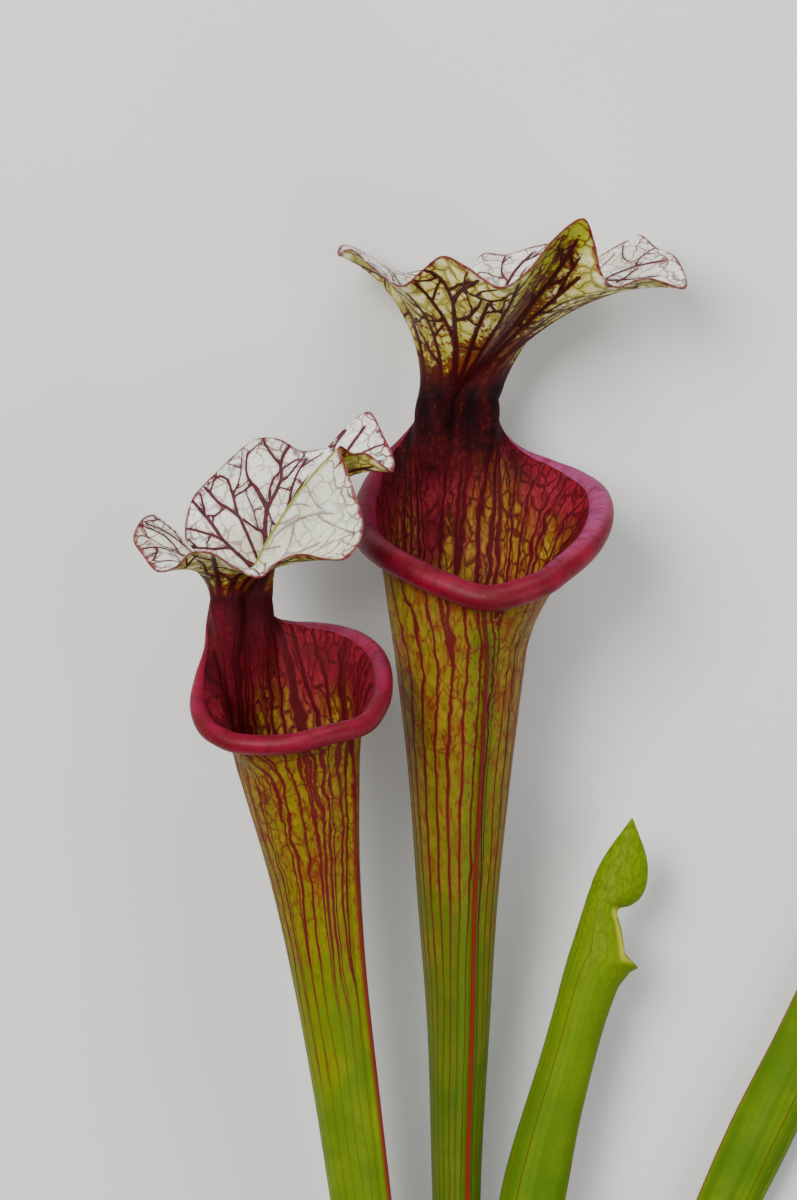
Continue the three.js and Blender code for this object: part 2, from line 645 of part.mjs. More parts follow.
// A body along a young pitcher's axis, from one of the two outlines above
function youngBody(outline, axis, side) {
  const skin = new Skin();
  const length = YOUNG_OUTLINE.at(-1)[0];
  const rings = outline.map(([distance, back, front, half]) => {
    const t = distance / length;
    const middle = vector(spline(axis, t));
    const up = tangent(axis, t, TANGENT_STEP);
    const across = new THREE.Vector3(up.y, -up.x, 0).normalize().multiplyScalar(side);
    const points = [];
    for (let i = 0; i < YOUNG_SIDES; i += 1) {
      const angle = 2 * Math.PI * i / YOUNG_SIDES;
      const slim = 1 - YOUNG_KEEL * Math.max(0, Math.cos(angle)) ** 2;
      const reach = (front + back) / 2 + (front - back) / 2 * Math.cos(angle);
      points.push(middle.clone()
        .addScaledVector(across, reach)
        .add(new THREE.Vector3(0, 0, half * Math.sin(angle) * slim)));
    }
    return skin.ring(points);
  });
  for (let r = 0; r + 1 < rings.length; r += 1) {
    skin.join(rings[r], rings[r + 1]);
  }
  skin.cap(rings[0], true);
  skin.cap(rings.at(-1), false);
  return skin.geometry();
}

// Closed meshes to solids for joining and cutting, and back
function solid(geometry) {
  const plain = geometry.clone();
  plain.deleteAttribute('normal');
  plain.deleteAttribute('uv');
  const merged = mergeVertices(plain, 1e-4);
  return new wasm.Manifold(new wasm.Mesh({
    numProp: 3,
    vertProperties: new Float32Array(merged.attributes.position.array),
    triVerts: new Uint32Array(merged.index.array),
  }));
}

function fromSolid(joined) {
  const mesh = joined.getMesh();
  const geometry = new THREE.BufferGeometry();
  const values = new Float32Array(mesh.vertProperties);
  geometry.setAttribute('position', new THREE.BufferAttribute(values, 3));
  geometry.setIndex(new THREE.BufferAttribute(new Uint32Array(mesh.triVerts), 1));
  geometry.computeVertexNormals();
  return geometry;
}

// A young pitcher with its hood still folded down over the mouth
function youngPitcher(axis, side) {
  const outside = solid(youngBody(YOUNG_OUTLINE, axis, side));
  return fromSolid(outside.subtract(solid(youngBody(YOUNG_HOLLOW, axis, side))));
}

// The rootstock's round body with the rings that old leaves left
function rootstockBody() {
  const skin = new Skin();
  const rows = 2 * ROOTSTOCK_RINGS;
  const rings = [];
  for (let r = 0; r <= rows; r += 1) {
    const t = r / rows;
    const here = spline(ROOTSTOCK, t);
    const along = tangent(ROOTSTOCK, t, TANGENT_STEP);
    const up = new THREE.Vector3(0, 0, 1);
    up.addScaledVector(along, -up.dot(along)).normalize();
    const aside = along.clone().cross(up);
    const radius = here[3] - (r % 2 ? RING_DEPTH : 0);
    const points = [];
    for (let i = 0; i < ROOTSTOCK_SIDES; i += 1) {
      const angle = 2 * Math.PI * (i + 0.5) / ROOTSTOCK_SIDES;
      points.push(vector(here)
        .addScaledVector(up, radius * Math.cos(angle))
        .addScaledVector(aside, radius * Math.sin(angle)));
    }
    rings.push(skin.ring(points));
  }
  for (let r = 0; r < rows; r += 1) {
    skin.join(rings[r], rings[r + 1]);
  }
  skin.cap(rings[0], true);
  skin.cap(rings.at(-1), false);
  return skin.geometry();
}

// One root, from inside the rootstock down to the surface and on along it
function rootGeometry(draw, index) {
  const t = FIRST_ROOT + (LAST_ROOT - FIRST_ROOT) * index / (ROOT_COUNT - 1);
  const place = vector(spline(ROOTSTOCK, t));
  const side = index % 2 ? 1 : -1;
  const points = [place.clone().setZ(ROOT_START)];
  const step = (SHORTEST_ROOT + (LONGEST_ROOT - SHORTEST_ROOT) * draw()) / ROOT_BENDS;
  let heading = radians(ROOTSTOCK_HEADING + side * (LEAST_TURN + TURN_SPREAD * draw()));
  for (let i = 1; i <= ROOT_BENDS; i += 1) {
    heading += WANDER * (draw() - 0.5);
    place.x += step * Math.cos(heading);
    place.y += step * Math.sin(heading);
    points.push(place.clone().setZ(i === 1 ? ROOT_KNEE : ROOT_RADIUS));
  }
  const section = new THREE.Shape();
  for (let i = 0; i < ROOT_SIDES; i += 1) {
    const angle = 2 * Math.PI * i / ROOT_SIDES;
    const corner = [ROOT_RADIUS * Math.cos(angle), ROOT_RADIUS * Math.sin(angle)];
    if (i === 0) {
      section.moveTo(...corner);
    } else {
      section.lineTo(...corner);
    }
  }
  section.closePath();
  return new THREE.ExtrudeGeometry(section, {
    steps: ROOT_STEPS,
    bevelEnabled: false,
    extrudePath: new THREE.CatmullRomCurve3(points),
  });
}

// A plain round hole for a leaf base, wider than the leaf all round
function socket(base, next, radius) {
  const up = next.clone().sub(base).normalize();
  const wide = radius + SOCKET_GAP;
  const hole = new THREE.CylinderGeometry(wide, wide, SOCKET_DEPTH, SOCKET_SIDES);
  const middle = base.clone().addScaledVector(up, SOCKET_DEPTH / 2 - SOCKET_GAP);
  hole.applyQuaternion(new THREE.Quaternion().setFromUnitVectors(new THREE.Vector3(0, 1, 0), up));
  hole.translate(middle.x, middle.y, middle.z);
  return hole;
}

function rootstock() {
  let joined = solid(rootstockBody());
  const draw = draws(7);
  for (let i = 0; i < ROOT_COUNT; i += 1) {
    joined = joined.add(solid(rootGeometry(draw, i)));
  }
  for (const plan of [tall, small]) {
    const rows = plan.tube;
    joined = joined.subtract(solid(socket(vector(rows[0]), vector(rows[1]), rows[1][3])));
  }
  for (const axis of [youngAxis, sideAxis]) {
    joined = joined.subtract(solid(socket(vector(axis[0]), vector(axis[1]), YOUNG_BASE)));
  }
  const floor = new THREE.BoxGeometry(FLOOR_SIDE, FLOOR_SIDE, FLOOR_DEPTH);
  floor.translate(0, 0, -FLOOR_DEPTH / 2);
  return fromSolid(joined.subtract(solid(floor)));
}

// Colours, kept apart from the shapes
function material(color, roughness) {
  return new THREE.MeshStandardMaterial({ color, roughness, metalness: 0 });
}
const tubeLook = material('#8a8428', 0.5);
const lipLook = material('#96142a', 0.35);
const hoodLook = material('#d8d0b4', 0.55);
const youngLook = material('#86a228', 0.5);
const rootLook = material('#5b4030', 0.9);

const group = new THREE.Group();
function place(name, geometry, look) {
  const mesh = new THREE.Mesh(geometry, look);
  mesh.name = name;
  group.add(mesh);
}

for (const plan of [tall, small]) {
  place(`${plan.name}_tube`, pitcherTube(plan), tubeLook);
  place(`${plan.name}_lip`, pitcherLip(plan), lipLook);
  place(`${plan.name}_hood`, pitcherHood(plan), hoodLook);
}
place('young_pitcher', youngPitcher(youngAxis, 1), youngLook);
place('side_pitcher', youngPitcher(sideAxis, -1), youngLook);
place('rootstock', rootstock(), rootLook);
group.position.set(CROWN_X, CROWN_Y, 0);

export default group;
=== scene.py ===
# A trumpet pitcher plant lying on its back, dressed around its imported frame
import math

import bmesh
import bpy
import mathutils
import numpy as np
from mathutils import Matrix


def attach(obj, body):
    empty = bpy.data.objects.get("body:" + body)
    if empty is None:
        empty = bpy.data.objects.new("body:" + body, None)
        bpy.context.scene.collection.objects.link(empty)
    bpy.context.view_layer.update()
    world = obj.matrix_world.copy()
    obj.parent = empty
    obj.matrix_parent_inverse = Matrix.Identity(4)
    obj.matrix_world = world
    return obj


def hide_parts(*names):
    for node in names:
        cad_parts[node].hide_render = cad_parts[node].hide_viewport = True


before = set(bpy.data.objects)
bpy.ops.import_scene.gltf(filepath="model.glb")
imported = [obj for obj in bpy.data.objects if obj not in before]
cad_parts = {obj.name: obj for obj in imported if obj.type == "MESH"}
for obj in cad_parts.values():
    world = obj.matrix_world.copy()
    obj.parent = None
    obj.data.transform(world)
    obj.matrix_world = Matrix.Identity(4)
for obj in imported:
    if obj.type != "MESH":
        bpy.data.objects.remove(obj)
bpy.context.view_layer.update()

# Lengths are in millimetres until a mesh is made
MM = 0.001

# Where the crown lies, and the sizes that the plant's solids are built with
CROWN = np.array([-16.9, -120.8, 0.0])
WALL = 0.9
RIM_EDGE = 1.1
WING_HEIGHT = 1.6
WING_TOP = 0.25
WING_FOOT = 0.75
WING_BAND = 1.2
WING_START = 0.17
FLARE_SLOPE = 0.2
FLARE_HANDLE = 0.33
EDGE_HANDLE = 4
LIP_HANDLE = 6
NECK_HANDLE = 14
FILL_AT = -98
FILL_FOOT = 0.2
LIP_LIFT = 0.5
NECK_SPREAD = 0.7
SEAT_ANGLE = 228
SEAT_END_ANGLE = 270
SEAT_END_SHARE = 0.125
LIP_LENGTH = 150
HOOD_SPREAD = 0.15
HOOD_HANDLE = 0.42
HOOD_THICKNESS = 0.75
HOOD_THINS = 0.45
HOOD_RIM = 0.16
NECK_END = (0.86, 1)
TANGENT_STEP = 0.01
LIP_TANGENT_STEP = 0.005

NECK_STRIP = [
    [-2.5, 9.0], [0.8, 8.1], [2.6, 4.7], [1.3, 1.8], [-0.1, 0.3],
    [0.9, -1.2], [2.5, -4.4], [0.8, -7.9], [-2.4, -9.2],
]


def paint(colour):
    """A colour as the eye names it, 0 to 255, in the linear values that a shader takes."""
    shares = [part / 255 for part in colour]
    linear = [c / 12.92 if c <= 0.04045 else ((c + 0.055) / 1.055) ** 2.4 for c in shares]
    return (*linear, 1)


# The tall pitcher. Tube: middle and radius. Lip: middle, the wall's heading, the roll's radius and
# the angle round the tube. Margin of the hood: place and how far it turns up
tall = {
    "name": "tall_pitcher",
    "front": 21,
    "tube": [
        [1.5, -6, 10, 3.4], [1.3, 25, 12.7, 3.9], [1, 55, 15.5, 4.5], [0.7, 83.9, 18.2, 4.9],
        [0.5, 113.5, 21, 5.6], [0.9, 144.1, 24.2, 6.9], [0.7, 174.6, 27.8, 9],
        [1.1, 202.9, 31.7, 11.5], [1.2, 229, 35.5, 14.6],
    ],
    "hollow_from": 0.25,
    "fill": 3.6,
    "lip": [
        [-6.2, 284.5, 16.3, 0.55, 0, -0.83, 0.6, -150], [-8.2, 279.4, 16, 0, 0.1, -1, 0.8, -143],
        [-11.5, 275, 17.5, -0.6, 0.35, -0.55, 1.1, -134],
        [-15.4, 270.4, 21, -0.8, 0.5, -0.3, 1.6, -122],
        [-18.4, 264.7, 26.5, -0.85, 0.55, -0.1, 2.2, -108], [-19.9, 259, 33, -0.8, 0.6, 0, 2.7, -95],
        [-19.3, 253.7, 39.5, -0.7, 0.7, 0.2, 2.9, -81], [-15.7, 249.8, 46, -0.6, 0.7, 0.4, 2.9, -64],
        [-10, 246.5, 51, -0.4, 0.75, 0.5, 2.9, -45], [-2.7, 243.1, 55, -0.2, 0.8, 0.55, 2.9, -24],
        [6.1, 240.2, 57.3, 0.1, 0.8, 0.6, 2.9, 0], [16, 242.2, 56, 0.3, 0.8, 0.5, 2.9, 20],
        [23, 246.3, 51.8, 0.5, 0.75, 0.4, 2.9, 36], [28.8, 251.5, 46, 0.6, 0.7, 0.25, 2.9, 50],
        [31.9, 257.4, 39.5, 0.75, 0.65, 0.05, 2.9, 64], [31.5, 262.4, 33, 0.8, 0.6, -0.1, 2.7, 76],
        [27.2, 266.4, 27.3, 0.8, 0.6, -0.2, 2.2, 88], [21.2, 269.4, 23.3, 0.7, 0.5, -0.4, 1.7, 99],
        [15.2, 272.4, 19.8, 0.55, 0.35, -0.6, 1.2, 110], [10.6, 277.1, 16.6, 0.1, 0.1, -1, 0.8, 120],
        [8, 284.5, 16.3, -0.5, 0, -0.86, 0.6, 128],
    ],
    "neck": {"x": 0.7, "y": 284.5, "z": 21.9, "front": 0, "size": 1},
    "hood_rise": 7,
    "hood_lean": 3.2,
    "margin": [
        [-1.2, 309.6, 6, 0.3], [-5.8, 314, 1.2, 0.4], [-11, 313.5, 0.1, 0.4], [-15.6, 315, 1, 0.5],
        [-20.7, 318.1, 6, 0.6], [-25, 319, 14, 0.5], [-25.8, 316.3, 22, 0.35], [-22.8, 317, 29, 0.5],
        [-16.5, 311.2, 36, 0.5], [-11.7, 308.4, 41, 0.4], [-7.6, 311.2, 45, 0.8], [-3, 314.4, 49, 1.1],
        [2.2, 312, 52, 0.9], [9.5, 307.3, 55, 0.5], [15.6, 310.7, 57, 0.8], [21.6, 317.9, 57, 1.1],
        [27.5, 322.1, 56, 1], [30, 317.4, 52, 0.7], [31.7, 310.7, 49, 0.3], [35.2, 307.8, 46, 0.1],
        [42.2, 310, 41, 0.1], [50.7, 308.3, 34, -0.2], [49.4, 315, 27, 0.1], [45.2, 317.9, 21, 0.3],
        [41.2, 321.2, 15, 0.5], [37.7, 316.8, 10, 0.4], [32.1, 316.9, 5, 0.5], [25, 320.1, 1.6, 0.7],
        [18.9, 319.7, 0.3, 0.8], [12.2, 317.7, 0.2, 0.7], [6.5, 317.6, 2, 0.7], [3.2, 310.7, 6, 0.3],
    ],
    "seed": 11,
    # Main veins of the hood: width, then places across and out from the neck
    "veins": [
        (0.62, [(-0.22, 0), (-0.25, 0.3), (-0.26, 0.55), (-0.265, 0.74)]),
        (0.42, [(-0.265, 0.74), (-0.29, 0.84), (-0.32, 0.93), (-0.345, 1)]),
        (0.42, [(-0.265, 0.74), (-0.24, 0.83), (-0.215, 0.9), (-0.2, 0.97)]),
        (0.4, [(-0.26, 0.45), (-0.31, 0.62), (-0.35, 0.78), (-0.38, 0.95)]),
        (0.46, [(-0.4, 0), (-0.4, 0.3), (-0.41, 0.6), (-0.43, 0.9)]),
        (0.46, [(-0.6, 0), (-0.56, 0.35), (-0.53, 0.65), (-0.52, 0.95)]),
        (0.5, [(-0.75, 0), (-0.7, 0.4), (-0.66, 0.7), (-0.64, 0.96)]),
        (0.5, [(-0.9, 0), (-0.86, 0.4), (-0.8, 0.7), (-0.76, 0.96)]),
        (0.4, [(-0.95, 0.2), (-0.93, 0.6), (-0.9, 0.95)]),
        (0.5, [(-0.08, 0), (-0.09, 0.3), (-0.1, 0.55), (-0.1, 0.8), (-0.11, 0.95)]),
        (0.44, [(-0.16, 0), (-0.17, 0.3), (-0.175, 0.55), (-0.17, 0.85)]),
        (0.5, [(0.1, 0), (0.09, 0.3), (0.075, 0.6), (0.07, 0.8), (0.055, 0.93)]),
        (0.5, [(0.22, 0), (0.2, 0.3), (0.17, 0.6), (0.14, 0.9)]),
        (0.5, [(0.35, 0), (0.31, 0.3), (0.27, 0.6), (0.25, 0.92)]),
        (0.42, [(0.31, 0.3), (0.34, 0.5), (0.345, 0.72), (0.34, 0.95)]),
        (0.5, [(0.5, 0), (0.46, 0.35), (0.43, 0.65), (0.42, 0.95)]),
        (0.46, [(0.64, 0), (0.6, 0.4), (0.56, 0.7), (0.54, 0.95)]),
        (0.46, [(0.78, 0), (0.75, 0.4), (0.71, 0.7), (0.68, 0.95)]),
        (0.42, [(0.92, 0.05), (0.89, 0.45), (0.84, 0.75), (0.8, 0.95)]),
    ],
    "rib": [(0, 0), (0, 0.35), (0.01, 0.7), (0.02, 0.88)],
    "tones": {
        "veins": 26, "seed": 4, "faint": 0.6,
        "forks": [(165, 70, 30, 0.25, 0.28), (228, 20, 18, 0.15, 0.3)],
        "red_from": (130, 235), "green_lobe": 0,
        "green": (62, 92, 4), "green_light": (82, 106, 12),
        "olive": (108, 98, 10), "olive_light": (134, 114, 26),
        "vein": (90, 8, 14), "net": (112, 30, 16), "wing": (120, 8, 8),
        "blush": (152, 96, 70), "blush_side": (0.5, 1.0),
        # The last pair below sets how strongly the lip's painted pink sheen shows, from one side of the
        # mouth to the other
        "neck_dark": (22, 0, 3), "neck_light": (64, 3, 10), "painted_sheen_share": (0.14, 0.62),
        "yellow_to": (0.14, 0.74), "neck_from": (0.5, 0.88), "hood_dark": (0.06, 0.26),
        "mouth_net": 0.5, "mouth_from": (198, 232), "band": 0.6,
    },
}

# The small pitcher, which faces right and shows its left side
small = {
    "name": "small_pitcher",
    "front": 55,
    "tube": [
        [-6.8, -6, 14.5, 3.3], [-9.6, 22, 18.8, 3.9], [-13, 50, 23.6, 4.8], [-16.8, 77.7, 28.4, 5.7],
        [-20.5, 105.8, 32.6, 6.6], [-23.9, 132.1, 36.5, 7.2], [-27.6, 158.4, 41, 8.2],
        [-30.8, 181.5, 46, 10.1], [-33.9, 203.5, 52, 13.2],
    ],
    "hollow_from": 0.25,
    "fill": 0,
    "lip": [
        [-52.8, 240, 47.6, 0, 0, -1, 0.6, -150], [-53.5, 234.6, 48, -0.3, 0.1, -0.9, 0.8, -143],
        [-53.7, 229.1, 51, -0.7, 0.3, -0.6, 1, -135], [-55.1, 223, 55.5, -0.85, 0.4, -0.2, 1.4, -124],
        [-55.6, 217, 60.5, -0.85, 0.5, 0, 1.8, -111], [-53.4, 212.4, 65.3, -0.7, 0.6, 0.3, 2.1, -97],
        [-48.7, 209.7, 69, -0.4, 0.65, 0.6, 2.2, -82], [-42, 208.8, 71.3, -0.15, 0.65, 0.7, 2.2, -65],
        [-34.4, 209.3, 71.8, 0, 0.65, 0.75, 2.2, -46],
        [-27.1, 211.1, 70.4, 0.25, 0.65, 0.65, 2.2, -26],
        [-20.3, 212.9, 66.5, 0.55, 0.65, 0.45, 2.2, 0], [-16.8, 216.8, 61, 0.7, 0.65, 0.25, 2.2, 16],
        [-15.8, 222.1, 54.8, 0.75, 0.65, 0.05, 2.2, 31], [-17.1, 227.1, 49, 0.7, 0.7, -0.15, 2.2, 46],
        [-20.7, 230.5, 44.6, 0.55, 0.7, -0.4, 2.2, 60], [-25.5, 232.3, 41.6, 0.3, 0.7, -0.6, 2, 74],
        [-30.9, 233.2, 39.6, 0.1, 0.65, -0.7, 1.8, 88],
        [-35.5, 233.7, 38.8, -0.1, 0.5, -0.85, 1.5, 100],
        [-39.1, 234.8, 38.8, -0.4, 0.3, -0.85, 1.1, 111],
        [-41.5, 237.2, 39.6, -0.8, 0.1, -0.6, 0.8, 120], [-43.2, 240, 40.9, -0.94, 0, -0.31, 0.6, 128],
    ],
    "neck": {"x": -45.7, "y": 240, "z": 48, "front": 38.5, "size": 0.86},
    "hood_rise": 6,
    "hood_lean": 0.5,
    "margin": [
        [-62.1, 252.4, 43.5, 0.5], [-65.3, 257.8, 46.5, 0.8], [-68.2, 257, 51, 0.6],
        [-69.7, 252.8, 56, 0.2], [-67.4, 249.2, 60.5, -0.1], [-64.2, 245.8, 65, -0.3],
        [-60.1, 246.6, 68, 0], [-56.7, 249.7, 70, 0.4], [-52.2, 249.5, 71.5, 0.3],
        [-47.4, 246.6, 73, 0], [-42, 244.4, 74.5, -0.3], [-38.1, 247.5, 75, 0],
        [-33.3, 249.3, 75.2, 0.2], [-28, 248.3, 75, 0], [-23.6, 248.5, 74, -0.1],
        [-20.7, 252.1, 71.5, 0], [-19.9, 256.5, 69, 0.1], [-21.2, 261.4, 67, 0.2],
        [-22.9, 266.3, 65, 0.4], [-24.9, 272.5, 62, 0.8], [-22.3, 271.2, 58.5, 0.5],
        [-19.1, 271.2, 56.5, 0.3], [-15.8, 268.8, 55, 0], [-13.8, 267.4, 52.5, -0.2],
        [-13.5, 270.6, 49.5, 0.2], [-15.8, 275.6, 47.5, 0.6], [-18.5, 280.6, 46, 0.9],
        [-21.5, 279.1, 46, 0.9], [-24.1, 273.5, 45.5, 0.7], [-28.9, 272.6, 43.5, 0.8],
        [-33.7, 272.3, 41, 0.9], [-38.7, 274.9, 38.5, 0.9], [-43.8, 274.8, 36.5, 0.9],
        [-48.3, 271.5, 35, 0.9], [-51.5, 268.5, 34.5, 0.8], [-54.8, 265.3, 35, 0.7],
        [-57.5, 262, 36, 0.6], [-59, 256.5, 38, 0.4], [-58.8, 249.9, 41, 0.1],
    ],
    "seed": 5,
    "veins": [
        (0.6, [(0.62, 0), (0.64, 0.25), (0.635, 0.43), (0.615, 0.6)]),
        (0.44, [(0.615, 0.6), (0.655, 0.67), (0.695, 0.75), (0.705, 0.82), (0.7, 0.93)]),
        (0.5, [(0.615, 0.6), (0.59, 0.7), (0.582, 0.8), (0.6, 0.88), (0.605, 0.99)]),
        (0.32, [(0.6, 0.87), (0.625, 0.89), (0.65, 0.94), (0.665, 0.99)]),
        (0.32, [(0.582, 0.79), (0.563, 0.82), (0.555, 0.9), (0.56, 0.97)]),
        (0.56, [(0.76, 0), (0.79, 0.25), (0.8, 0.5), (0.8, 0.65)]),
        (0.42, [(0.8, 0.65), (0.825, 0.74), (0.845, 0.82), (0.85, 0.98)]),
        (0.36, [(0.8, 0.68), (0.785, 0.78), (0.78, 0.88), (0.8, 0.96)]),
        (0.56, [(0.86, 0), (0.9, 0.25), (0.93, 0.5), (0.93, 0.66)]),
        (0.44, [(0.93, 0.66), (0.915, 0.76), (0.905, 0.88), (0.9, 0.99)]),
        (0.36, [(0.93, 0.66), (0.945, 0.8), (0.955, 0.96)]),
        (0.4, [(0.52, 0), (0.52, 0.3), (0.51, 0.5), (0.5, 0.7)]),
        (0.3, [(0.5, 0.7), (0.49, 0.82), (0.5, 0.95)]),
        (0.3, [(0.51, 0.62), (0.53, 0.78), (0.54, 0.93)]),
        (0.44, [(0.3, 0), (0.3, 0.4), (0.32, 0.7), (0.35, 0.95)]),
        (0.42, [(0.2, 0), (0.22, 0.4), (0.24, 0.7), (0.26, 0.95)]),
        (0.4, [(0.1, 0), (0.12, 0.4), (0.14, 0.7), (0.16, 0.95)]),
        (0.4, [(-0.16, 0.1), (-0.2, 0.35), (-0.22, 0.55), (-0.2, 0.75)]),
        (0.34, [(-0.22, 0.5), (-0.25, 0.68), (-0.28, 0.82)]),
        (0.24, [(-0.04, 0.5), (-0.08, 0.68), (-0.12, 0.85)]),
        (0.5, [(-0.36, 0), (-0.38, 0.35), (-0.38, 0.65), (-0.37, 0.95)]),
        (0.5, [(-0.5, 0), (-0.5, 0.35), (-0.48, 0.65), (-0.47, 0.95)]),
        (0.5, [(-0.64, 0), (-0.62, 0.35), (-0.6, 0.65), (-0.58, 0.95)]),
        (0.46, [(-0.76, 0), (-0.74, 0.4), (-0.72, 0.7), (-0.7, 0.95)]),
        (0.46, [(-0.88, 0), (-0.85, 0.4), (-0.83, 0.7), (-0.81, 0.95)]),
        (0.38, [(-0.95, 0.2), (-0.92, 0.55), (-0.89, 0.95)]),
    ],
    "rib": [(0, 0), (0, 0.35), (0, 0.7), (0, 1)],
    "tones": {
        "veins": 22, "seed": 9, "faint": 0.3,
        "forks": [(120, 80, 30, 0.25, 0.35), (195, 20, 16, 0.15, 0.35)],
        "red_from": (120, 212), "green_lobe": 1,
        "green": (84, 112, 2), "green_light": (106, 130, 8),
        "olive": (114, 102, 8), "olive_light": (138, 118, 22),
        "vein": (94, 10, 16), "net": (112, 34, 16), "wing": (108, 12, 20),
        "blush": (118, 40, 36), "blush_side": (-0.2, 0.7),
        # The last pair below sets how strongly the lip's painted pink sheen shows, from one side of the
        # mouth to the other
        "neck_dark": (56, 5, 14), "neck_light": (104, 14, 30), "painted_sheen_share": (0.06, 0.22),
        "yellow_to": (-0.05, 0.5), "neck_from": (0.5, 0.92), "hood_dark": (0.0, 0.1),
        "mouth_net": 0.7, "mouth_from": (176, 204), "band": 0.1,
    },
}

# Young leaves: distance along, back and front edge, and half the thickness
YOUNG_OUTLINE = [
    [0, -3.3, 3.3, 3], [42, -4.3, 4.2, 3.6], [82, -5.8, 5.6, 4.6], [113, -7.3, 7.2, 5.2],
    [136, -6.5, 6.1, 5.4], [152, -6.3, 5.6, 5.6], [163, -6.5, 6.2, 5.8], [167, -6.5, 7.8, 5.8],
    [169, -6.4, 9.6, 5.7], [171, -6.3, 8.7, 5.5], [176, -6.1, 5.6, 4.8], [180, -5.9, 2.8, 4.2],
    [181.5, -5.8, 4.4, 4.3], [183.2, -5.6, 5.8, 4.2], [186, -5.3, 6.5, 3.8], [190, -4.4, 6.1, 3.1],
    [194, -3, 4.5, 2.2], [198, -1.3, 2, 1.2], [200.6, -0.2, 0.2, 0.2],
]
YOUNG_HOLLOW = [
    [115, -1, 1, 1], [130, -5, 4.8, 3.9], [152, -5, 4.4, 4.3], [165, -5.2, 5.4, 4.7],
    [170.5, -5.1, 11, 4.5], [176, -4.8, 8, 3.6], [179.5, -4, 6, 2.7], [181, -2.4, 3.6, 1.3],
]
YOUNG_KEEL = 0.35
# Where the red front line ends, and the young mouth's rim and its lower point lie along the leaf
YOUNG_CREST_END = (163, 168)
YOUNG_RIM_START = (168.5, 170)
YOUNG_RIM_END = (179, 181)
YOUNG_POINT = 169
YOUNG_LINES = 7
YOUNG_AXIS = [
    [8, -6, 17], [8.6, 19, 17.6], [9.9, 44, 18], [12, 69, 18.2], [15.2, 94, 18], [20.2, 118, 17.8],
    [27.1, 142.5, 17.4], [34, 167, 17], [39.8, 191, 17],
]
SIDE_AXIS = [
    [11, -6, 7.2], [23, 22, 7.6], [35.6, 49.8, 7.6], [48.6, 77.4, 7.4], [61.9, 104.8, 7],
    [74.8, 132, 6.5], [86.8, 159.4, 6], [98.3, 187.2, 5.78], [108.5, 215.9, 6],
]

# Rootstock and roots
ROOTSTOCK = [
    [15, -8, 9, 2.5], [11, -8, 9.6, 7.5], [2, -8, 9.8, 10.3], [-10, -12, 9.8, 10.4],
    [-22, -20, 9.4, 10], [-32, -29, 9, 9.2], [-38, -35, 8.6, 7], [-41, -38, 8.4, 3],
]
ROOTSTOCK_RINGS = 11
RING_DEPTH = 0.45
ROOT_COUNT = 14
ROOT_RADIUS = 0.85
ROOT_BENDS = 6
SHORTEST_ROOT = 30
LONGEST_ROOT = 56
FIRST_ROOT = 0.16
LAST_ROOT = 0.89
ROOT_START = 5
ROOT_KNEE = 3
ROOTSTOCK_HEADING = 225
LEAST_TURN = 35
TURN_SPREAD = 60
WANDER = 0.75
SIDE_ROOTS = 9
ROOTSTOCK_ROWS = 150
ROOTSTOCK_SIDES = 84
ROOTSTOCK_LENGTH = 70
BARK_SINK = 0.25
ROOT_STEPS = 46
ROOT_SIDES = 9
ROOT_ON_FLOOR = 0.3
FINE_ROOT_FROM = 14
FINE_ROOT_SPAN = 30
FINE_ROOT_TURN = 40
FINE_ROOT_TURN_SPREAD = 45
FINE_ROOT_BENDS = 12
FINE_ROOT_WANDER = 1.1
FINE_ROOT_STEP = 0.4
FINE_ROOT_STEP_SPREAD = 0.5
FINE_ROOT_RADII = (0.17, 0.06)
FINE_ROOT_SIDES = 5
FINE_ROOT_TIP = 0.2
# Old scales round the crown: turn from the top, length, half width and how far they stand off
SCALES = [(-75, 17, 8, 1), (-38, 15, 7, 2), (5, 16, 8, 1), (42, 18, 8, 2), (80, 15, 7, 1)]

SCALE_CENTRE = (3.5, -2, 9.8)
SCALE_RADIUS = 9.7
SCALE_TAPER = 1.5
SCALE_BOW = 0.55
SCALE_WAVE = 0.25
SCALE_START = -13
SCALE_LEAN = 0.12
SCALE_THICKNESS = 0.22
SCALE_TIP = 0.05
SCALE_TONE = 0.3
SCALE_GRAIN = 30

# Side veins of a hood leave a main vein, or a side vein, about this often
SIDE_VEIN_GAP = [6.5, 5.5]
SIDE_VEIN_FROM = 0.28
SIDE_VEIN_TURN = 42
SIDE_VEIN_TURN_SPREAD = 22
SIDE_VEIN_CURL = 0.035
SIDE_VEIN_SWAY = 0.3
SIDE_VEIN_STEP = 0.7
SIDE_VEIN_STEPS = 18
SIDE_VEIN_SHARE = 0.57
THINNEST_FORKING = 0.16
# Two veins meet where the square of their distance is less than this
VEINS_MEET = 0.64
VEIN_TAPER = 0.35
VEIN_PULL = 1.5
VEIN_POINTS = 40000
VEIN_CHUNK = 1500

# Camera, surface and lights, in the photo's frame of 797 by 1200 pixels
PHOTO_HEIGHT = 1200
MM_PER_PIXEL = 0.22
CAMERA_DISTANCE = 1200
CAMERA_AIM = np.array([-12.4, 239.8, 35])
SENSOR = 36
FLOOR_HALF = 2.5
FLOOR_TONE = (0.74, 0.74, 0.72, 1)
FLOOR_TONE_LIGHT = (0.8, 0.8, 0.78, 1)
LIGHTS = [
    ("key", (-0.6, 0.5, 1.35), 0.7, 23, (1, 0.98, 0.95)),
    ("fill", (0.9, -0.4, 1.1), 1.0, 9.5, (0.97, 0.98, 1)),
    ("back", (0.2, 1.1, 0.7), 0.6, 6, (1, 1, 1)),
]
WORLD_STRENGTH = 0.36
WORLD_TONE = (0.9, 0.94, 1, 1)
LIGHTS_AIM = (0, 0, 0.03)

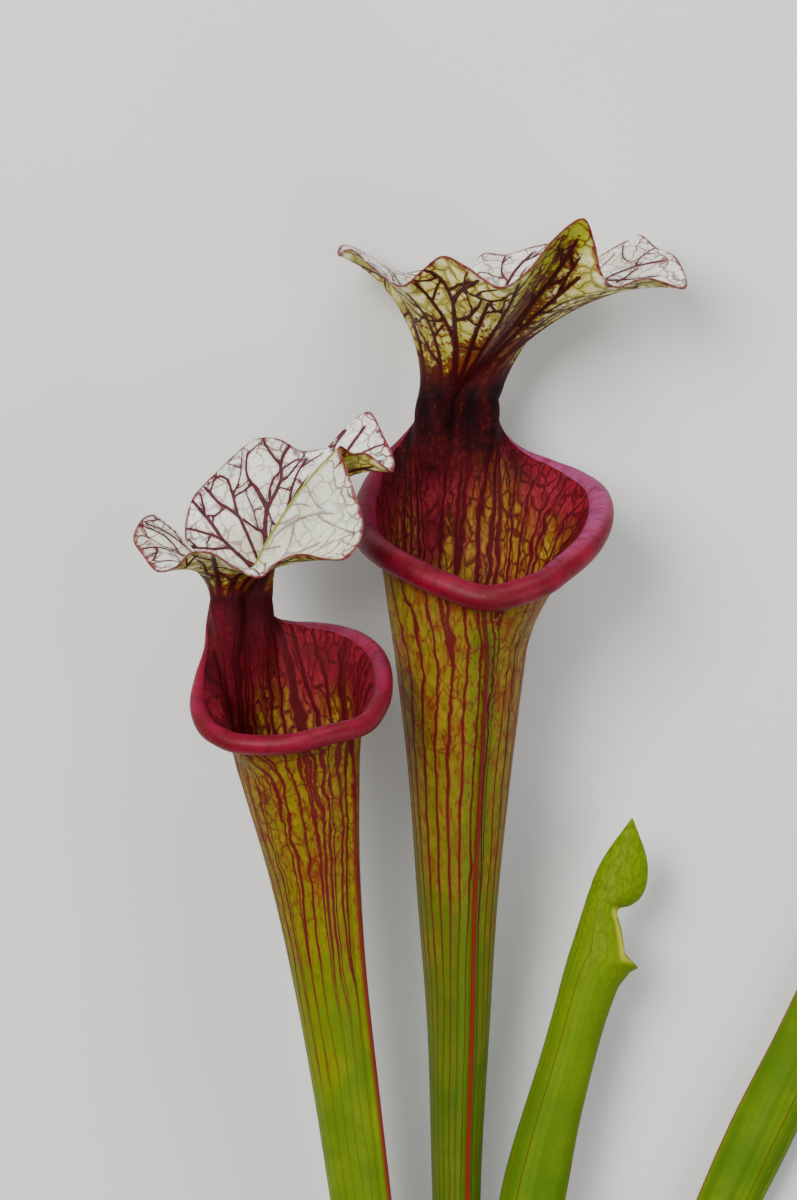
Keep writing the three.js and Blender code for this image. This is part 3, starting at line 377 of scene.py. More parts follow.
# How finely the leaves are divided
LIP_COLUMNS = 150
NECK_COLUMNS = 60
WING_OFFSETS = [-1.2, -1, -0.8, -0.65, -0.5, -0.35, -0.2, 0, 0.2, 0.35, 0.5, 0.65, 0.8, 1, 1.2]
TUBE_ROWS = 110
FLARE_ROWS = 50
HOLLOW_ROWS = 50
ROLL_SIDES = 30
HOOD_COLUMNS = 460
HOOD_ROWS = 76
YOUNG_ROWS = 230
YOUNG_SIDES = 56
GIRTH_WINDOW = 25
SHARP_FROM = 58
CUT_SHARP_FROM = 50
WELD_DISTANCE = 2e-6

# The back wall is softened from its foot on, and less and less towards the mouth
SOFT_PASSES = 90
SOFT_STEP = 0.7
SOFT_FROM = (0, 0.15)
SOFT_UNTIL = (0.5, 0.96)
# The lip's roll swells and thins by this share, in waves along it and round it
LIP_RIPPLE = 0.035
LIP_WAVES = (61, 23, 9)

# How far light runs under the skin, for red, green and blue, in metres
GLOW_RADIUS = (0.0012, 0.0008, 0.0004)

UP = np.array([0.0, 0.0, 1.0])
LENGTHWISE = np.array([0.0, 1.0, 0.0])


# Curves and directions

def spline(rows, t):
    """A smooth curve through rows of numbers, at every t from 0 to 1."""
    rows = np.asarray(rows, float)
    last = len(rows) - 1
    place = np.clip(np.asarray(t, float), 0, 1) * last
    i = np.minimum(place.astype(int), last - 1)
    u = (place - i)[..., None]
    padded = np.vstack([2 * rows[0] - rows[1], rows, 2 * rows[-1] - rows[-2]])
    p0, p1, p2, p3 = padded[i], padded[i + 1], padded[i + 2], padded[i + 3]
    bend = 2 * p0 - 5 * p1 + 4 * p2 - p3
    twist = 3 * p1 - p0 - 3 * p2 + p3
    return p1 + 0.5 * u * (p2 - p0 + u * (bend + u * twist))


def unit(vectors):
    return vectors / np.linalg.norm(vectors, axis=-1, keepdims=True)


def dot(a, b):
    return np.sum(a * b, axis=-1, keepdims=True)


def tangent(rows, t, step):
    ahead = spline(rows, np.minimum(t + step, 1))
    behind = spline(rows, np.maximum(t - step, 0))
    return unit((ahead - behind)[..., :3])


def square_direction(degrees):
    turn = math.radians(degrees)
    return np.array([math.sin(turn), 0, math.cos(turn)])


def on_grid(points, **values):
    """Each value spread over the grid of points, whether it is a number, a row or a column."""
    return {key: np.broadcast_to(value, points.shape[:2]) for key, value in values.items()}


def cubic(a, b, c, d, t):
    s = 1 - t
    return a * s**3 + b * 3 * s * s * t + c * 3 * s * t * t + d * t**3


def smooth(low, high, value):
    part = np.clip((value - low) / (high - low), 0, 1)
    return part * part * (3 - 2 * part)


def grid_normals(points, closed):
    """Normals of a grid of points, rows by columns, along columns then rows."""
    if closed:
        across = np.roll(points, -1, 1) - np.roll(points, 1, 1)
    else:
        across = np.gradient(points, axis=1)
    return unit(np.cross(across, np.gradient(points, axis=0)))


# The plant's forms, as its solids have them

def tube_frame(plan, t):
    here = spline(plan["tube"], t)
    up = tangent(plan["tube"], t, TANGENT_STEP)
    front = square_direction(plan["front"])
    front = unit(front - up * dot(up, front))
    return here[..., :3], here[..., 3:], up, front, np.cross(up, front)


def lip_frame(plan, s):
    s = np.asarray(s, float)
    here = spline(plan["lip"], s)
    along = tangent(plan["lip"], s, LIP_TANGENT_STEP)
    along = np.where((s <= 0)[..., None], -LENGTHWISE, np.where((s >= 1)[..., None], LENGTHWISE, along))
    heading = here[..., 3:6]
    up = unit(heading - along * dot(heading, along))
    radius = here[..., 6:7]
    half = np.arcsin(RIM_EDGE / 2 / np.maximum(radius, RIM_EDGE / 2 + 0.02))
    end = np.minimum(s, 1 - s)[..., None]
    share = np.maximum(0, 1 - end / SEAT_END_SHARE)
    seat = np.radians(SEAT_ANGLE + (SEAT_END_ANGLE - SEAT_ANGLE) * share)
    return {
        "centre": here[..., :3], "up": up, "out": np.cross(along, up), "radius": radius,
        "inner": seat - half, "outer": seat + half, "heading": unit(heading),
        "angle": np.radians(here[..., 7]),
    }


def on_roll(lip, angle, swell=1.0):
    reach = lip["radius"] * swell
    return lip["centre"] + reach * (lip["out"] * np.cos(angle) + lip["up"] * np.sin(angle))


def neck_rows(plan):
    neck = plan["neck"]
    front = square_direction(neck["front"])
    left = -np.cross(LENGTHWISE, front)
    middle = np.array([neck["x"], neck["y"], neck["z"]])
    rows = [middle + neck["size"] * (front * forward + left * aside) for forward, aside in NECK_STRIP]
    ends = lip_frame(plan, np.array([0.0, 1.0]))
    edge = on_roll(ends, ends["inner"])
    return np.array([edge[0], *rows, edge[1]])


def neck_point(plan, v):
    here = spline(plan["neck_rows"], (v + 1) / 2)
    here[..., 1] = plan["neck"]["y"]
    return here


def neck_back_point(plan, v, thickness):
    ahead = neck_point(plan, np.minimum(v + TANGENT_STEP, 1))
    behind = neck_point(plan, np.maximum(v - TANGENT_STEP, -1))
    back = neck_point(plan, v) + thickness * np.cross(LENGTHWISE, unit(ahead - behind))
    ends = lip_frame(plan, np.where(v < 0, 0.0, 1.0))
    edge = on_roll(ends, ends["outer"])
    share = smooth(*NECK_END, np.abs(v))[..., None]
    return back * (1 - share) + edge * share


def hood_point(plan, v, t):
    base = neck_point(plan, v)
    here = spline(plan["margin"], (v + 1) / 2)
    edge = here[..., :3]
    neck = plan["neck"]
    away = np.stack([edge[..., 0] - neck["x"], np.zeros_like(v), edge[..., 2] - neck["z"]], -1)
    away = unit(away)
    low = base + away * HOOD_SPREAD * plan["hood_rise"]
    low = low + np.array([plan["hood_lean"], plan["hood_rise"], 0])
    arrival = away.copy()
    arrival[..., 1] = here[..., 3]
    distance = np.linalg.norm(edge - base, axis=-1, keepdims=True)
    high = edge - unit(arrival) * HOOD_HANDLE * distance
    return cubic(base, low, high, edge, t[..., None])


def lip_columns():
    """The lip's part of the columns: each one's place on the lip and its offset on the wing."""
    places = [(i / LIP_COLUMNS, None) for i in range(LIP_COLUMNS + 1)]
    clear = WING_BAND / LIP_LENGTH
    places = [(s, offset) for s, offset in places if abs(s - 0.5) > clear]
    places += [(0.5 + offset / LIP_LENGTH, offset) for offset in WING_OFFSETS]
    return sorted(places)


def round_smooth(row, window):
    """A row that closes on itself, averaged over a window."""
    half = len(window) // 2
    return np.convolve(np.concatenate([row[-half:], row, row[:half]]), window / window.sum(), "valid")


def soften(flare, steps, at_neck):
    """Lets the back wall run smoothly from the neck into both sides of the mouth."""
    strength = smooth(*SOFT_FROM, steps) * (1 - smooth(*SOFT_UNTIL, steps))
    strength = (strength[:, None] * at_neck[None])[..., None]
    for _ in range(SOFT_PASSES):
        middle = (np.roll(flare, 1, axis=1) + np.roll(flare, -1, axis=1)) / 2
        flare = flare + SOFT_STEP * strength * (middle - flare)
    return flare


def tube_surface(plan):
    """The whole skin of a mature tube: up the outside, over the rim and down the hollow."""
    places = lip_columns()
    s = np.array([place for place, _ in places])
    lip = lip_frame(plan, s)
    offset = np.array([0.0 if o is None else o for _, o in places])
    on_wing = np.array([o is not None for _, o in places])
    v = 1 - 2 * np.arange(1, NECK_COLUMNS) / NECK_COLUMNS
    wing = np.where(on_wing, 1 - smooth(WING_TOP, WING_FOOT, np.abs(offset)), 0) * WING_HEIGHT

    lip_heading = unit(lip["heading"] + LENGTHWISE * LIP_LIFT)
    lip_handle = EDGE_HANDLE + LIP_HANDLE * np.minimum(1, 4 * np.minimum(s, 1 - s))
    edge = np.abs(v) ** 3
    side = lip_frame(plan, np.where(v < 0, 0.0, 1.0))
    neck_heading = unit(LENGTHWISE + side["heading"] * NECK_SPREAD * edge[:, None])
    right_end = math.radians(plan["lip"][-1][7])
    left_end = math.radians(plan["lip"][0][7]) + 2 * math.pi
    angle = np.concatenate([lip["angle"], right_end + (left_end - right_end) * (1 - v) / 2])
    inner_end = np.vstack([on_roll(lip, lip["inner"]), neck_point(plan, v)])
    outer_end = np.vstack([on_roll(lip, lip["outer"]), neck_back_point(plan, v, WALL)])
    heading = np.vstack([lip_heading, neck_heading])
    handle = np.concatenate([lip_handle, EDGE_HANDLE + NECK_HANDLE * (1 - edge)])[:, None]
    rest = len(v)
    wing = np.concatenate([wing, np.zeros(rest)])
    offset = np.concatenate([offset, np.zeros(rest)])
    on_wing = np.concatenate([on_wing, np.zeros(rest, bool)])
    neck_share = np.concatenate([np.zeros(len(s)), 1 - np.abs(v) ** 4])

    def ring(t, inset):
        middle, radius, _, front, right = tube_frame(plan, np.array([t]))
        turn = np.where(angle > math.pi, angle - 2 * math.pi, angle)
        foot = WING_BAND / radius[0, 0]
        spread = np.sign(turn) * (foot + np.abs(turn) * (1 - foot / math.pi))
        place = np.where(on_wing, offset / radius[0, 0], spread)[:, None]
        reach = radius - np.reshape(inset, (-1, 1))
        return middle + reach * (front * np.cos(place) + right * np.sin(place))

    middle, _, up, _, _ = tube_frame(plan, np.array([1.0]))
    start = ring(1.0, WALL)
    reach = np.linalg.norm(start - inner_end, axis=1, keepdims=True)
    rise = unit(up + unit(start - middle) * FLARE_SLOPE)
    low = start + rise * FLARE_HANDLE * reach
    high = inner_end - heading * np.minimum(FLARE_HANDLE * reach, handle)
    fill = plan["fill"] * np.maximum(0, np.cos(angle - math.radians(FILL_AT))) ** 2
    low = low + unit(start - middle) * fill[:, None] * FILL_FOOT
    high = high + unit(start - middle) * fill[:, None]
    steps = np.linspace(0, 1, FLARE_ROWS + 1)
    flare = np.array([cubic(start, low, high, inner_end, t) for t in steps])
    near_ends = 1 - smooth(0.16, 0.3, np.minimum(s, 1 - s))
    flare = soften(flare, steps, np.concatenate([near_ends, np.ones(rest)]))
    normals = grid_normals(flare, True)
    fade = (1 - steps)[:, None]
    outer_flare = flare + normals * (WALL + wing * fade)[..., None]
    blend = smooth(0.8, 1, steps)[:, None, None]
    outer_flare = outer_flare * (1 - blend) + (outer_flare + (outer_end - outer_flare[-1])) * blend

    tube_steps = np.arange(TUBE_ROWS) / TUBE_ROWS
    grow = np.minimum(1, tube_steps / WING_START)
    outer_tube = np.array([ring(t, -wing * g) for t, g in zip(tube_steps, grow)])
    bottom = plan["hollow_from"]
    hollow_steps = bottom + (1 - bottom) * np.arange(HOLLOW_ROWS) / HOLLOW_ROWS
    inner_tube = np.array([ring(t, WALL) for t in hollow_steps])
    points = np.vstack([outer_tube, outer_flare, flare[::-1], inner_tube[::-1]])

    tube_length = np.linalg.norm(np.diff(np.array(plan["tube"])[:, :3], axis=0), axis=1).sum()
    flare_length = reach[:, 0]
    up_tube = tube_steps[:, None] * tube_length * np.ones(len(angle))
    up_flare = tube_length + steps[:, None] * flare_length
    up_hollow = hollow_steps[:, None] * tube_length * np.ones(len(angle))
    along = np.vstack([up_tube, up_flare, up_flare[::-1], up_hollow[::-1]])
    first_ring = np.vstack([start, start[:1]])
    spans = np.maximum(np.linalg.norm(np.diff(first_ring, axis=0), axis=1), 0.02)
    around = np.concatenate([[0], np.cumsum(spans)])[:-1] / spans.sum()
    share_of_ring = spans / spans.sum()
    step_out = np.linalg.norm(np.roll(points, -1, axis=1) - points, axis=2)
    window = np.exp(-np.linspace(-2, 2, GIRTH_WINDOW) ** 2)
    girth = np.array([round_smooth(row, window) for row in step_out]) / round_smooth(share_of_ring, window)
    inside = np.zeros(points.shape[:2])
    inside[TUBE_ROWS + FLARE_ROWS + 1:] = 1
    flare_share = np.concatenate([np.zeros(TUBE_ROWS), steps, steps[::-1], np.zeros(HOLLOW_ROWS)])
    return points, on_grid(
        points, around=around, along=along, inside=inside, girth=girth,
        neck=neck_share * smooth(0.3, 0.85, flare_share)[:, None], flare=flare_share[:, None],
        wing=wing / WING_HEIGHT * (1 - inside), turn=np.cos(angle), side=np.sin(angle),
    )


def lip_surface(plan):
    s = np.linspace(0, 1, 2 * LIP_COLUMNS + 1)
    lip = lip_frame(plan, s)
    lip = {key: value[:, None] if value.ndim > 1 else value for key, value in lip.items()}
    round_roll = np.arange(ROLL_SIDES) / ROLL_SIDES * 2 * math.pi
    angle = round_roll[None, :, None]
    first, second, twist = LIP_WAVES
    wobble = np.sin(s * first + 2 * np.sin(s * second))[:, None, None]
    ripple = 1 + LIP_RIPPLE * wobble * np.sin(angle + s[:, None, None] * twist)
    points = on_roll(lip, angle, ripple)
    length = np.linalg.norm(np.diff(lip["centre"][:, 0], axis=0), axis=1)
    return points, on_grid(
        points, along=np.concatenate([[0], np.cumsum(length)])[:, None],
        around=round_roll / (2 * math.pi), inward=np.cos(round_roll - math.pi),
        side=np.sin(lip["angle"])[:, None],
    )


# Meshes

def add_object(name, data):
    thing = bpy.data.objects.new(name, data)
    bpy.context.scene.collection.objects.link(thing)
    return thing


def flat_grid(name, columns, rows, half):
    mesh = bpy.data.meshes.new(name)
    bm = bmesh.new()
    bmesh.ops.create_grid(bm, x_segments=columns, y_segments=rows, size=half)
    bm.to_mesh(mesh)
    bm.free()
    return mesh


def make_piece(name, points, values, wrap, weld_rows=False):
    """A grid made into a closed mesh. Each value becomes an attribute of its points."""
    if wrap:
        points = np.concatenate([points, points[:, :1]], axis=1)
        for key, value in values.items():
            full_turn = 1 if key == "around" else 0
            values[key] = np.concatenate([value, value[:, :1] + full_turn], axis=1)
    if weld_rows:
        points = np.concatenate([points, points[:1]])
        values = {key: np.concatenate([value, value[:1]]) for key, value in values.items()}
    rows, columns = points.shape[:2]
    mesh = flat_grid(name, columns - 1, rows - 1, 1)
    mesh.vertices.foreach_set("co", ((points + CROWN) * MM).ravel())
    for key, value in values.items():
        attribute = mesh.attributes.new(key, "FLOAT", "POINT")
        attribute.data.foreach_set("value", np.asarray(value, np.float32).ravel())
    loops = np.empty(len(mesh.loops), np.int32)
    mesh.loops.foreach_get("vertex_index", loops)
    layer = mesh.uv_layers.new(name="UVMap")
    plane = np.stack([values["around"].ravel(), values["along"].ravel() / 100], -1)
    layer.data.foreach_set("uv", plane[loops].ravel().astype(np.float32))
    bm = bmesh.new()
    bm.from_mesh(mesh)
    bmesh.ops.remove_doubles(bm, verts=bm.verts, dist=WELD_DISTANCE)
    open_edges = [edge for edge in bm.edges if edge.is_boundary]
    bmesh.ops.holes_fill(bm, edges=open_edges, sides=0)
    bmesh.ops.recalc_face_normals(bm, faces=bm.faces)
    for face in bm.faces:
        face.smooth = True
    bm.to_mesh(mesh)
    bm.free()
    mesh.set_sharp_from_angle(angle=math.radians(SHARP_FROM))
    return add_object(name, mesh)


# Veins of the hoods

def metric_grid(plan, columns=161, rows=41):
    v = np.linspace(-1, 1, columns)
    t = np.linspace(0, 1, rows)
    return hood_point(plan, *np.meshgrid(v, t))


def fork_off(draw, grid, paths):
    """Side veins, which leave the main ones by turns to the left and right and end at others."""
    rows, columns = grid.shape[:2]
    per_v = np.linalg.norm(np.gradient(grid, axis=1), axis=2) * (columns - 1) / 2
    per_t = np.linalg.norm(np.gradient(grid, axis=0), axis=2) * (rows - 1)
    taken = np.zeros((VEIN_POINTS, 4))
    filled = 0

    def look(table, v, t):
        row = min(rows - 1, max(0, round(t * (rows - 1))))
        column = min(columns - 1, max(0, round((v + 1) / 2 * (columns - 1))))
        return table[row, column]

    def mark(path, owner):
        nonlocal filled
        for v, t in path:
            taken[filled] = (*look(grid, v, t), owner)
            filled += 1

    grown = list(paths)
    for owner, (_, path) in enumerate(grown):
        mark(finer(path, 14), owner)
    queue = [(index, 0) for index in range(len(grown))]
    while queue:
        owner, level = queue.pop(0)
        width, path = grown[owner]
        if level >= len(SIDE_VEIN_GAP) or width < THINNEST_FORKING:
            continue
        line = finer(path, 40)
        side = 1 if draw.random() < 0.5 else -1
        gap = SIDE_VEIN_GAP[level] * (0.3 + 0.7 * draw.random())
        for here, ahead in zip(line, line[1:]):
            at_v, at_t = look(per_v, *here), look(per_t, *here)
            step = np.array([(ahead[0] - here[0]) * at_v, (ahead[1] - here[1]) * at_t])
            gap -= np.linalg.norm(step)
            if gap > 0 or here[1] < SIDE_VEIN_FROM:
                continue
            gap = SIDE_VEIN_GAP[level] * (0.7 + 0.6 * draw.random())
            side = -side
            turn = math.radians(SIDE_VEIN_TURN + SIDE_VEIN_TURN_SPREAD * draw.random())
            heading = math.atan2(step[1], step[0]) + side * turn
            new = [here]
            place = np.array(here)
            for _ in range(SIDE_VEIN_STEPS):
                heading += -side * SIDE_VEIN_CURL + SIDE_VEIN_SWAY * (draw.random() - 0.5)
                aside = math.cos(heading) / look(per_v, *place)
                out = math.sin(heading) / look(per_t, *place)
                place = place + SIDE_VEIN_STEP * np.array([aside, out])
                if not (-0.995 < place[0] < 0.995 and 0.1 < place[1] < 0.985):
                    break
                spot = look(grid, *place)
                away = np.sum((taken[:filled, :3] - spot) ** 2, axis=1)
                near = np.argmin(away)
                new.append(tuple(place))
                if away[near] < VEINS_MEET and taken[near, 3] != owner:
                    break
            if len(new) > 4:
                grown.append((width * SIDE_VEIN_SHARE, new))
                mark(new, len(grown) - 1)
                queue.append((len(grown) - 1, level + 1))
    return grown


def finer(path, count):
    steps = np.linspace(0, 1, count)
    return [tuple(row) for row in spline(path, steps)]


def vein_field(plan, paths, v, t, points):
    """Each point's signed distance to the nearest vein, its plain distance and that vein's width."""
    pieces = []
    for width, path in paths:
        line = np.array(finer(path, max(12, 3 * len(path))))
        solid = hood_point(plan, line[:, 0], line[:, 1])
        taper = width * (1 - VEIN_TAPER * np.linspace(0, 1, len(line)))
        pieces.append(np.hstack([solid[:-1], solid[1:], line[:-1], line[1:], taper[:-1, None]]))
    starts, ends, flat_starts, flat_ends, widths = np.split(np.vstack(pieces), [3, 6, 8, 10], axis=1)
    widths = widths[:, 0]
    along = ends - starts
    square = np.maximum(np.sum(along * along, axis=1), 1e-9)
    flat = np.stack([v.ravel(), t.ravel()], -1)
    spots = points.reshape(-1, 3)
    signed = np.empty(len(spots))
    width = np.empty(len(spots))
    for first in range(0, len(spots), VEIN_CHUNK):
        part = slice(first, first + VEIN_CHUNK)
        away = spots[part, None] - starts[None]
        share = np.clip(np.sum(away * along, axis=2) / square, 0, 1)
        distance = np.linalg.norm(away - share[..., None] * along, axis=2)
        best = np.argmin(distance - VEIN_PULL * widths, axis=1)
        pick = np.arange(len(best))
        line = flat_ends[best] - flat_starts[best]
        off = flat[part] - flat_starts[best]
        side = np.sign(line[:, 0] * off[:, 1] - line[:, 1] * off[:, 0])
        signed[part] = distance[pick, best] * np.where(side == 0, 1, side)
        width[part] = widths[best]
    return signed.reshape(v.shape), np.abs(signed).reshape(v.shape), width.reshape(v.shape)


def hood_surface(plan):
    v, t = np.meshgrid(np.linspace(-1, 1, HOOD_COLUMNS + 1), np.linspace(0, 1, HOOD_ROWS + 1))
    under = hood_point(plan, v, t)
    normals = grid_normals(under, False)
    thick = HOOD_THICKNESS * (1 - HOOD_THINS * smooth(0.8, 1, t)) * (1 - smooth(0.985, 1, np.abs(v)))
    top = under - normals * thick[..., None]
    back = neck_back_point(plan, v[0], WALL)
    share = (1 - smooth(0, 0.12, t))[..., None]
    top = top * (1 - share) + (back + (top - top[0])) * share
    outward = unit(np.gradient(under, axis=0)[-1])
    rim = (under[-1] + top[-1]) / 2 + outward * HOOD_RIM
    points = np.vstack([under, rim[None], top[::-1]])
    draw = np.random.default_rng(plan["seed"])
    paths = fork_off(draw, metric_grid(plan), plan["veins"])
    signed, far, width = vein_field(plan, paths, v, t, under)
    _, rib, _ = vein_field(plan, [(1, plan["rib"])], v, t, under)
    edge_line = np.linalg.norm(under - under[-1:], axis=2)

    def both(value):
        return np.vstack([value, value[-1:], value[::-1]])

    top_side = np.concatenate([np.zeros(HOOD_ROWS + 1), [0.5], np.ones(HOOD_ROWS + 1)])
    return points, on_grid(
        points, around=both((v + 1) / 2), along=both(t * 50), reach=both(t), place=both(v),
        vein_side=both(signed), vein_far=both(far), vein_width=both(width), rib=both(rib),
        margin=both(edge_line), top=top_side[:, None],
    )


# Young leaves

def young_surface(outline, axis, side, rows, sides):
    """A body along a young leaf's axis: its outline gives the back and front edge and the thickness."""
    stations = np.array(outline)
    numbers = np.arange(len(stations))
    distance = np.interp(np.linspace(0, len(stations) - 1, rows), numbers, stations[:, 0])
    place = np.interp(distance, stations[:, 0], numbers) / (len(stations) - 1)
    here = spline(stations, place)
    t = distance / YOUNG_OUTLINE[-1][0]
    middle = spline(axis, t)
    up = tangent(axis, t, TANGENT_STEP)
    across = unit(np.stack([up[:, 1], -up[:, 0], np.zeros(rows)], -1)) * side
    angle = np.arange(sides) / sides * 2 * math.pi
    slim = 1 - YOUNG_KEEL * np.maximum(0, np.cos(angle)) ** 2
    back, front, half = here[:, 1:2], here[:, 2:3], here[:, 3:4]
    reach = (front + back) / 2 + (front - back) / 2 * np.cos(angle)
    lift = half * np.sin(angle) * slim
    points = middle[:, None] + across[:, None] * reach[..., None] + UP * lift[..., None]
    return points, on_grid(
        points, around=angle / (2 * math.pi), along=distance[:, None], front=np.cos(angle), inside=0)


def cut_hollow(piece, cutter):
    """Takes the cutter's body out of the piece and marks the cut faces as a sharp edge."""
    cut = piece.modifiers.new("Hollow", "BOOLEAN")
    cut.operation = "DIFFERENCE"
    cut.solver = "EXACT"
    cut.object = cutter
    graph = bpy.context.evaluated_depsgraph_get()
    mesh = bpy.data.meshes.new_from_object(piece.evaluated_get(graph))
    piece.modifiers.clear()
    piece.data = mesh
    mesh.name = piece.name
    bpy.data.objects.remove(cutter)
    mesh.set_sharp_from_angle(angle=math.radians(CUT_SHARP_FROM))


# Rootstock and roots

def draws(seed):
    """One seeded draw after another, between 0 and 1, as the root paths of the solids use."""
    state = seed
    while True:
        state = (state * 1664525 + 1013904223) % 4294967296
        yield state / 4294967296


def tube_along(path, radii, sides):
    """Rings of points round a path that lies near the surface."""
    ahead = unit(np.gradient(path, axis=0))
    aside = unit(np.cross(ahead, UP))
    over = np.cross(aside, ahead)
    angle = np.arange(sides) / sides * 2 * math.pi
    ring = aside[:, None] * np.cos(angle)[:, None] + over[:, None] * np.sin(angle)[:, None]
    points = path[:, None] + ring * np.asarray(radii)[:, None, None]
    length = np.concatenate([[0], np.cumsum(np.linalg.norm(np.diff(path, axis=0), axis=1))])
    return points, on_grid(
        points, around=angle / (2 * math.pi), along=length[:, None],
        reach=np.linspace(0, 1, len(path))[:, None], ring=0,
    )


def rootstock_surface():
    t = np.linspace(0, 1, ROOTSTOCK_ROWS)
    here = spline(ROOTSTOCK, t)
    along = tangent(ROOTSTOCK, t, TANGENT_STEP)
    over = unit(UP - along * dot(along, UP))
    aside = np.cross(along, over)
    angle = np.arange(ROOTSTOCK_SIDES) / ROOTSTOCK_SIDES * 2 * math.pi
    beat = t * ROOTSTOCK_RINGS
    step = beat - np.floor(beat)
    groove = (1 - smooth(0, 0.3, step)) * smooth(-0.02, 0.02, step)
    ridge = RING_DEPTH * (0.25 - 1.2 * groove)[:, None]
    wave = 0.16 * np.sin(5 * angle + 9 * t[:, None]) + 0.1 * np.sin(13 * angle - 31 * t[:, None])
    wave = wave + 0.07 * np.sin(29 * angle + 17 * np.sin(20 * t[:, None]))
    radius = here[:, 3:4] - BARK_SINK + ridge + wave
    ring = over[:, None] * np.cos(angle)[:, None] + aside[:, None] * np.sin(angle)[:, None]
    points = here[:, None, :3] + ring * radius[..., None]
    points[..., 2] = np.maximum(points[..., 2], 0)
    return points, on_grid(
        points, around=angle / (2 * math.pi), along=t[:, None] * ROOTSTOCK_LENGTH, reach=0,
        ring=groove[:, None],
    )


def root_path(draw, index):
    t = FIRST_ROOT + (LAST_ROOT - FIRST_ROOT) * index / (ROOT_COUNT - 1)
    place = spline(ROOTSTOCK, t)[:3].copy()
    side = 1 if index % 2 else -1
    bends = [np.array([place[0], place[1], ROOT_START])]
    step = (SHORTEST_ROOT + (LONGEST_ROOT - SHORTEST_ROOT) * next(draw)) / ROOT_BENDS
    heading = math.radians(ROOTSTOCK_HEADING + side * (LEAST_TURN + TURN_SPREAD * next(draw)))
    for i in range(1, ROOT_BENDS + 1):
        heading += WANDER * (next(draw) - 0.5)
        place[0] += step * math.cos(heading)
        place[1] += step * math.sin(heading)
        bends.append(np.array([place[0], place[1], ROOT_KNEE if i == 1 else ROOT_RADIUS]))
    return np.array(bends)


def make_roots():
    """Every root with its fine side roots, tapered to their tips and lying on the surface."""
    draw = draws(7)
    fine = np.random.default_rng(21)
    parts = []
    for index in range(ROOT_COUNT):
        steps = np.linspace(0, 1, ROOT_STEPS)
        path = spline(root_path(draw, index), steps)
        radii = ROOT_RADIUS * (1.05 - 0.75 * steps**1.5) * (1 + 0.08 * np.sin(40 * steps + index))
        sunk = path[:, 2] - (ROOT_RADIUS - radii) * (steps > ROOT_ON_FLOOR)
        path[:, 2] = np.maximum(sunk, radii + 0.02)
        parts.append(make_piece(f"root_{index}", *tube_along(path, radii, ROOT_SIDES), wrap=True))
        for number in range(SIDE_ROOTS):
            at = FINE_ROOT_FROM + int(FINE_ROOT_SPAN * (number + fine.random()) / SIDE_ROOTS)
            start = path[at]
            ahead = start - path[at - 1]
            turn = math.radians(FINE_ROOT_TURN + FINE_ROOT_TURN_SPREAD * fine.random())
            heading = math.atan2(ahead[1], ahead[0]) + (turn if number % 2 else -turn)
            line = [start]
            for _ in range(FINE_ROOT_BENDS):
                heading += FINE_ROOT_WANDER * (fine.random() - 0.5)
                reach = FINE_ROOT_STEP + FINE_ROOT_STEP_SPREAD * fine.random()
                line.append(line[-1] + reach * np.array([math.cos(heading), math.sin(heading), 0]))
            line = np.array(line)
            line[:, 2] = np.linspace(start[2], FINE_ROOT_TIP, len(line))
            thin = np.linspace(*FINE_ROOT_RADII, len(line))
            grid = tube_along(line, thin, FINE_ROOT_SIDES)
            parts.append(make_piece(f"fine_root_{index}_{number}", *grid, wrap=True))
    return parts


def scale_surface(turn, length, width, lift):
    """A dry papery scale, the rest of an old leaf base, that clasps the crown and points forward."""
    grid_w, grid_s = np.meshgrid(np.linspace(-1, 1, 15), np.linspace(0, 1, 26))
    half = width * np.sqrt(np.maximum(0, 1 - grid_s**2)) + SCALE_TIP
    wave = SCALE_WAVE * np.sin(5 * grid_w + 7 * grid_s)
    radius = SCALE_RADIUS - SCALE_TAPER * grid_s + lift * grid_s**2 + wave
    angle = math.radians(turn) + SCALE_BOW * grid_w * half / 9
    depth = SCALE_START + length * grid_s
    across = SCALE_CENTRE[0] + radius * np.sin(angle) - SCALE_LEAN * depth
    over = SCALE_CENTRE[2] + radius * np.cos(angle)
    outside = np.stack([across, SCALE_CENTRE[1] + depth, over], -1)
    inside = outside - grid_normals(outside, False) * SCALE_THICKNESS
    points = np.vstack([outside, inside[::-1]])
    points[..., 2] = np.maximum(points[..., 2], 0.05)
    return points, on_grid(
        points, around=np.vstack([grid_w, grid_w[::-1]]) / 2,
        along=np.vstack([grid_s, grid_s[::-1]]) * SCALE_GRAIN, reach=SCALE_TONE, ring=0,
    )


def join_pieces(name, parts):
    bm = bmesh.new()
    for part in parts:
        bm.from_mesh(part.data)
    mesh = bpy.data.meshes.new(name)
    bm.to_mesh(mesh)
    bm.free()
    for part in parts:
        bpy.data.objects.remove(part)
    return add_object(name, mesh)


# Finishes

class Wire:
    """A number or a colour that a finish works out, ready to be added, multiplied or tinted."""

    def __init__(self, look, socket):
        self.look = look
        self.socket = socket

    def __add__(self, other):
        return self.look.math("ADD", self, other)

    def __sub__(self, other):
        return self.look.math("SUBTRACT", self, other)

    def __rsub__(self, other):
        return self.look.math("SUBTRACT", other, self)

    def __mul__(self, other):
        return self.look.math("MULTIPLY", self, other)

    def __abs__(self):
        return self.look.math("ABSOLUTE", self)

    def smooth(self, low, high, start=0.0, end=1.0):
        """Runs gently from start to end while this number runs from low to high."""
        values = (self, low, high, start, end)
        return self.look.node("MapRange", *values, interpolation_type="SMOOTHSTEP")

    def fall(self, low, high):
        return self.smooth(low, high, 1.0, 0.0)

    def tint(self, share, colour):
        return self.look.mix(share, self, colour)


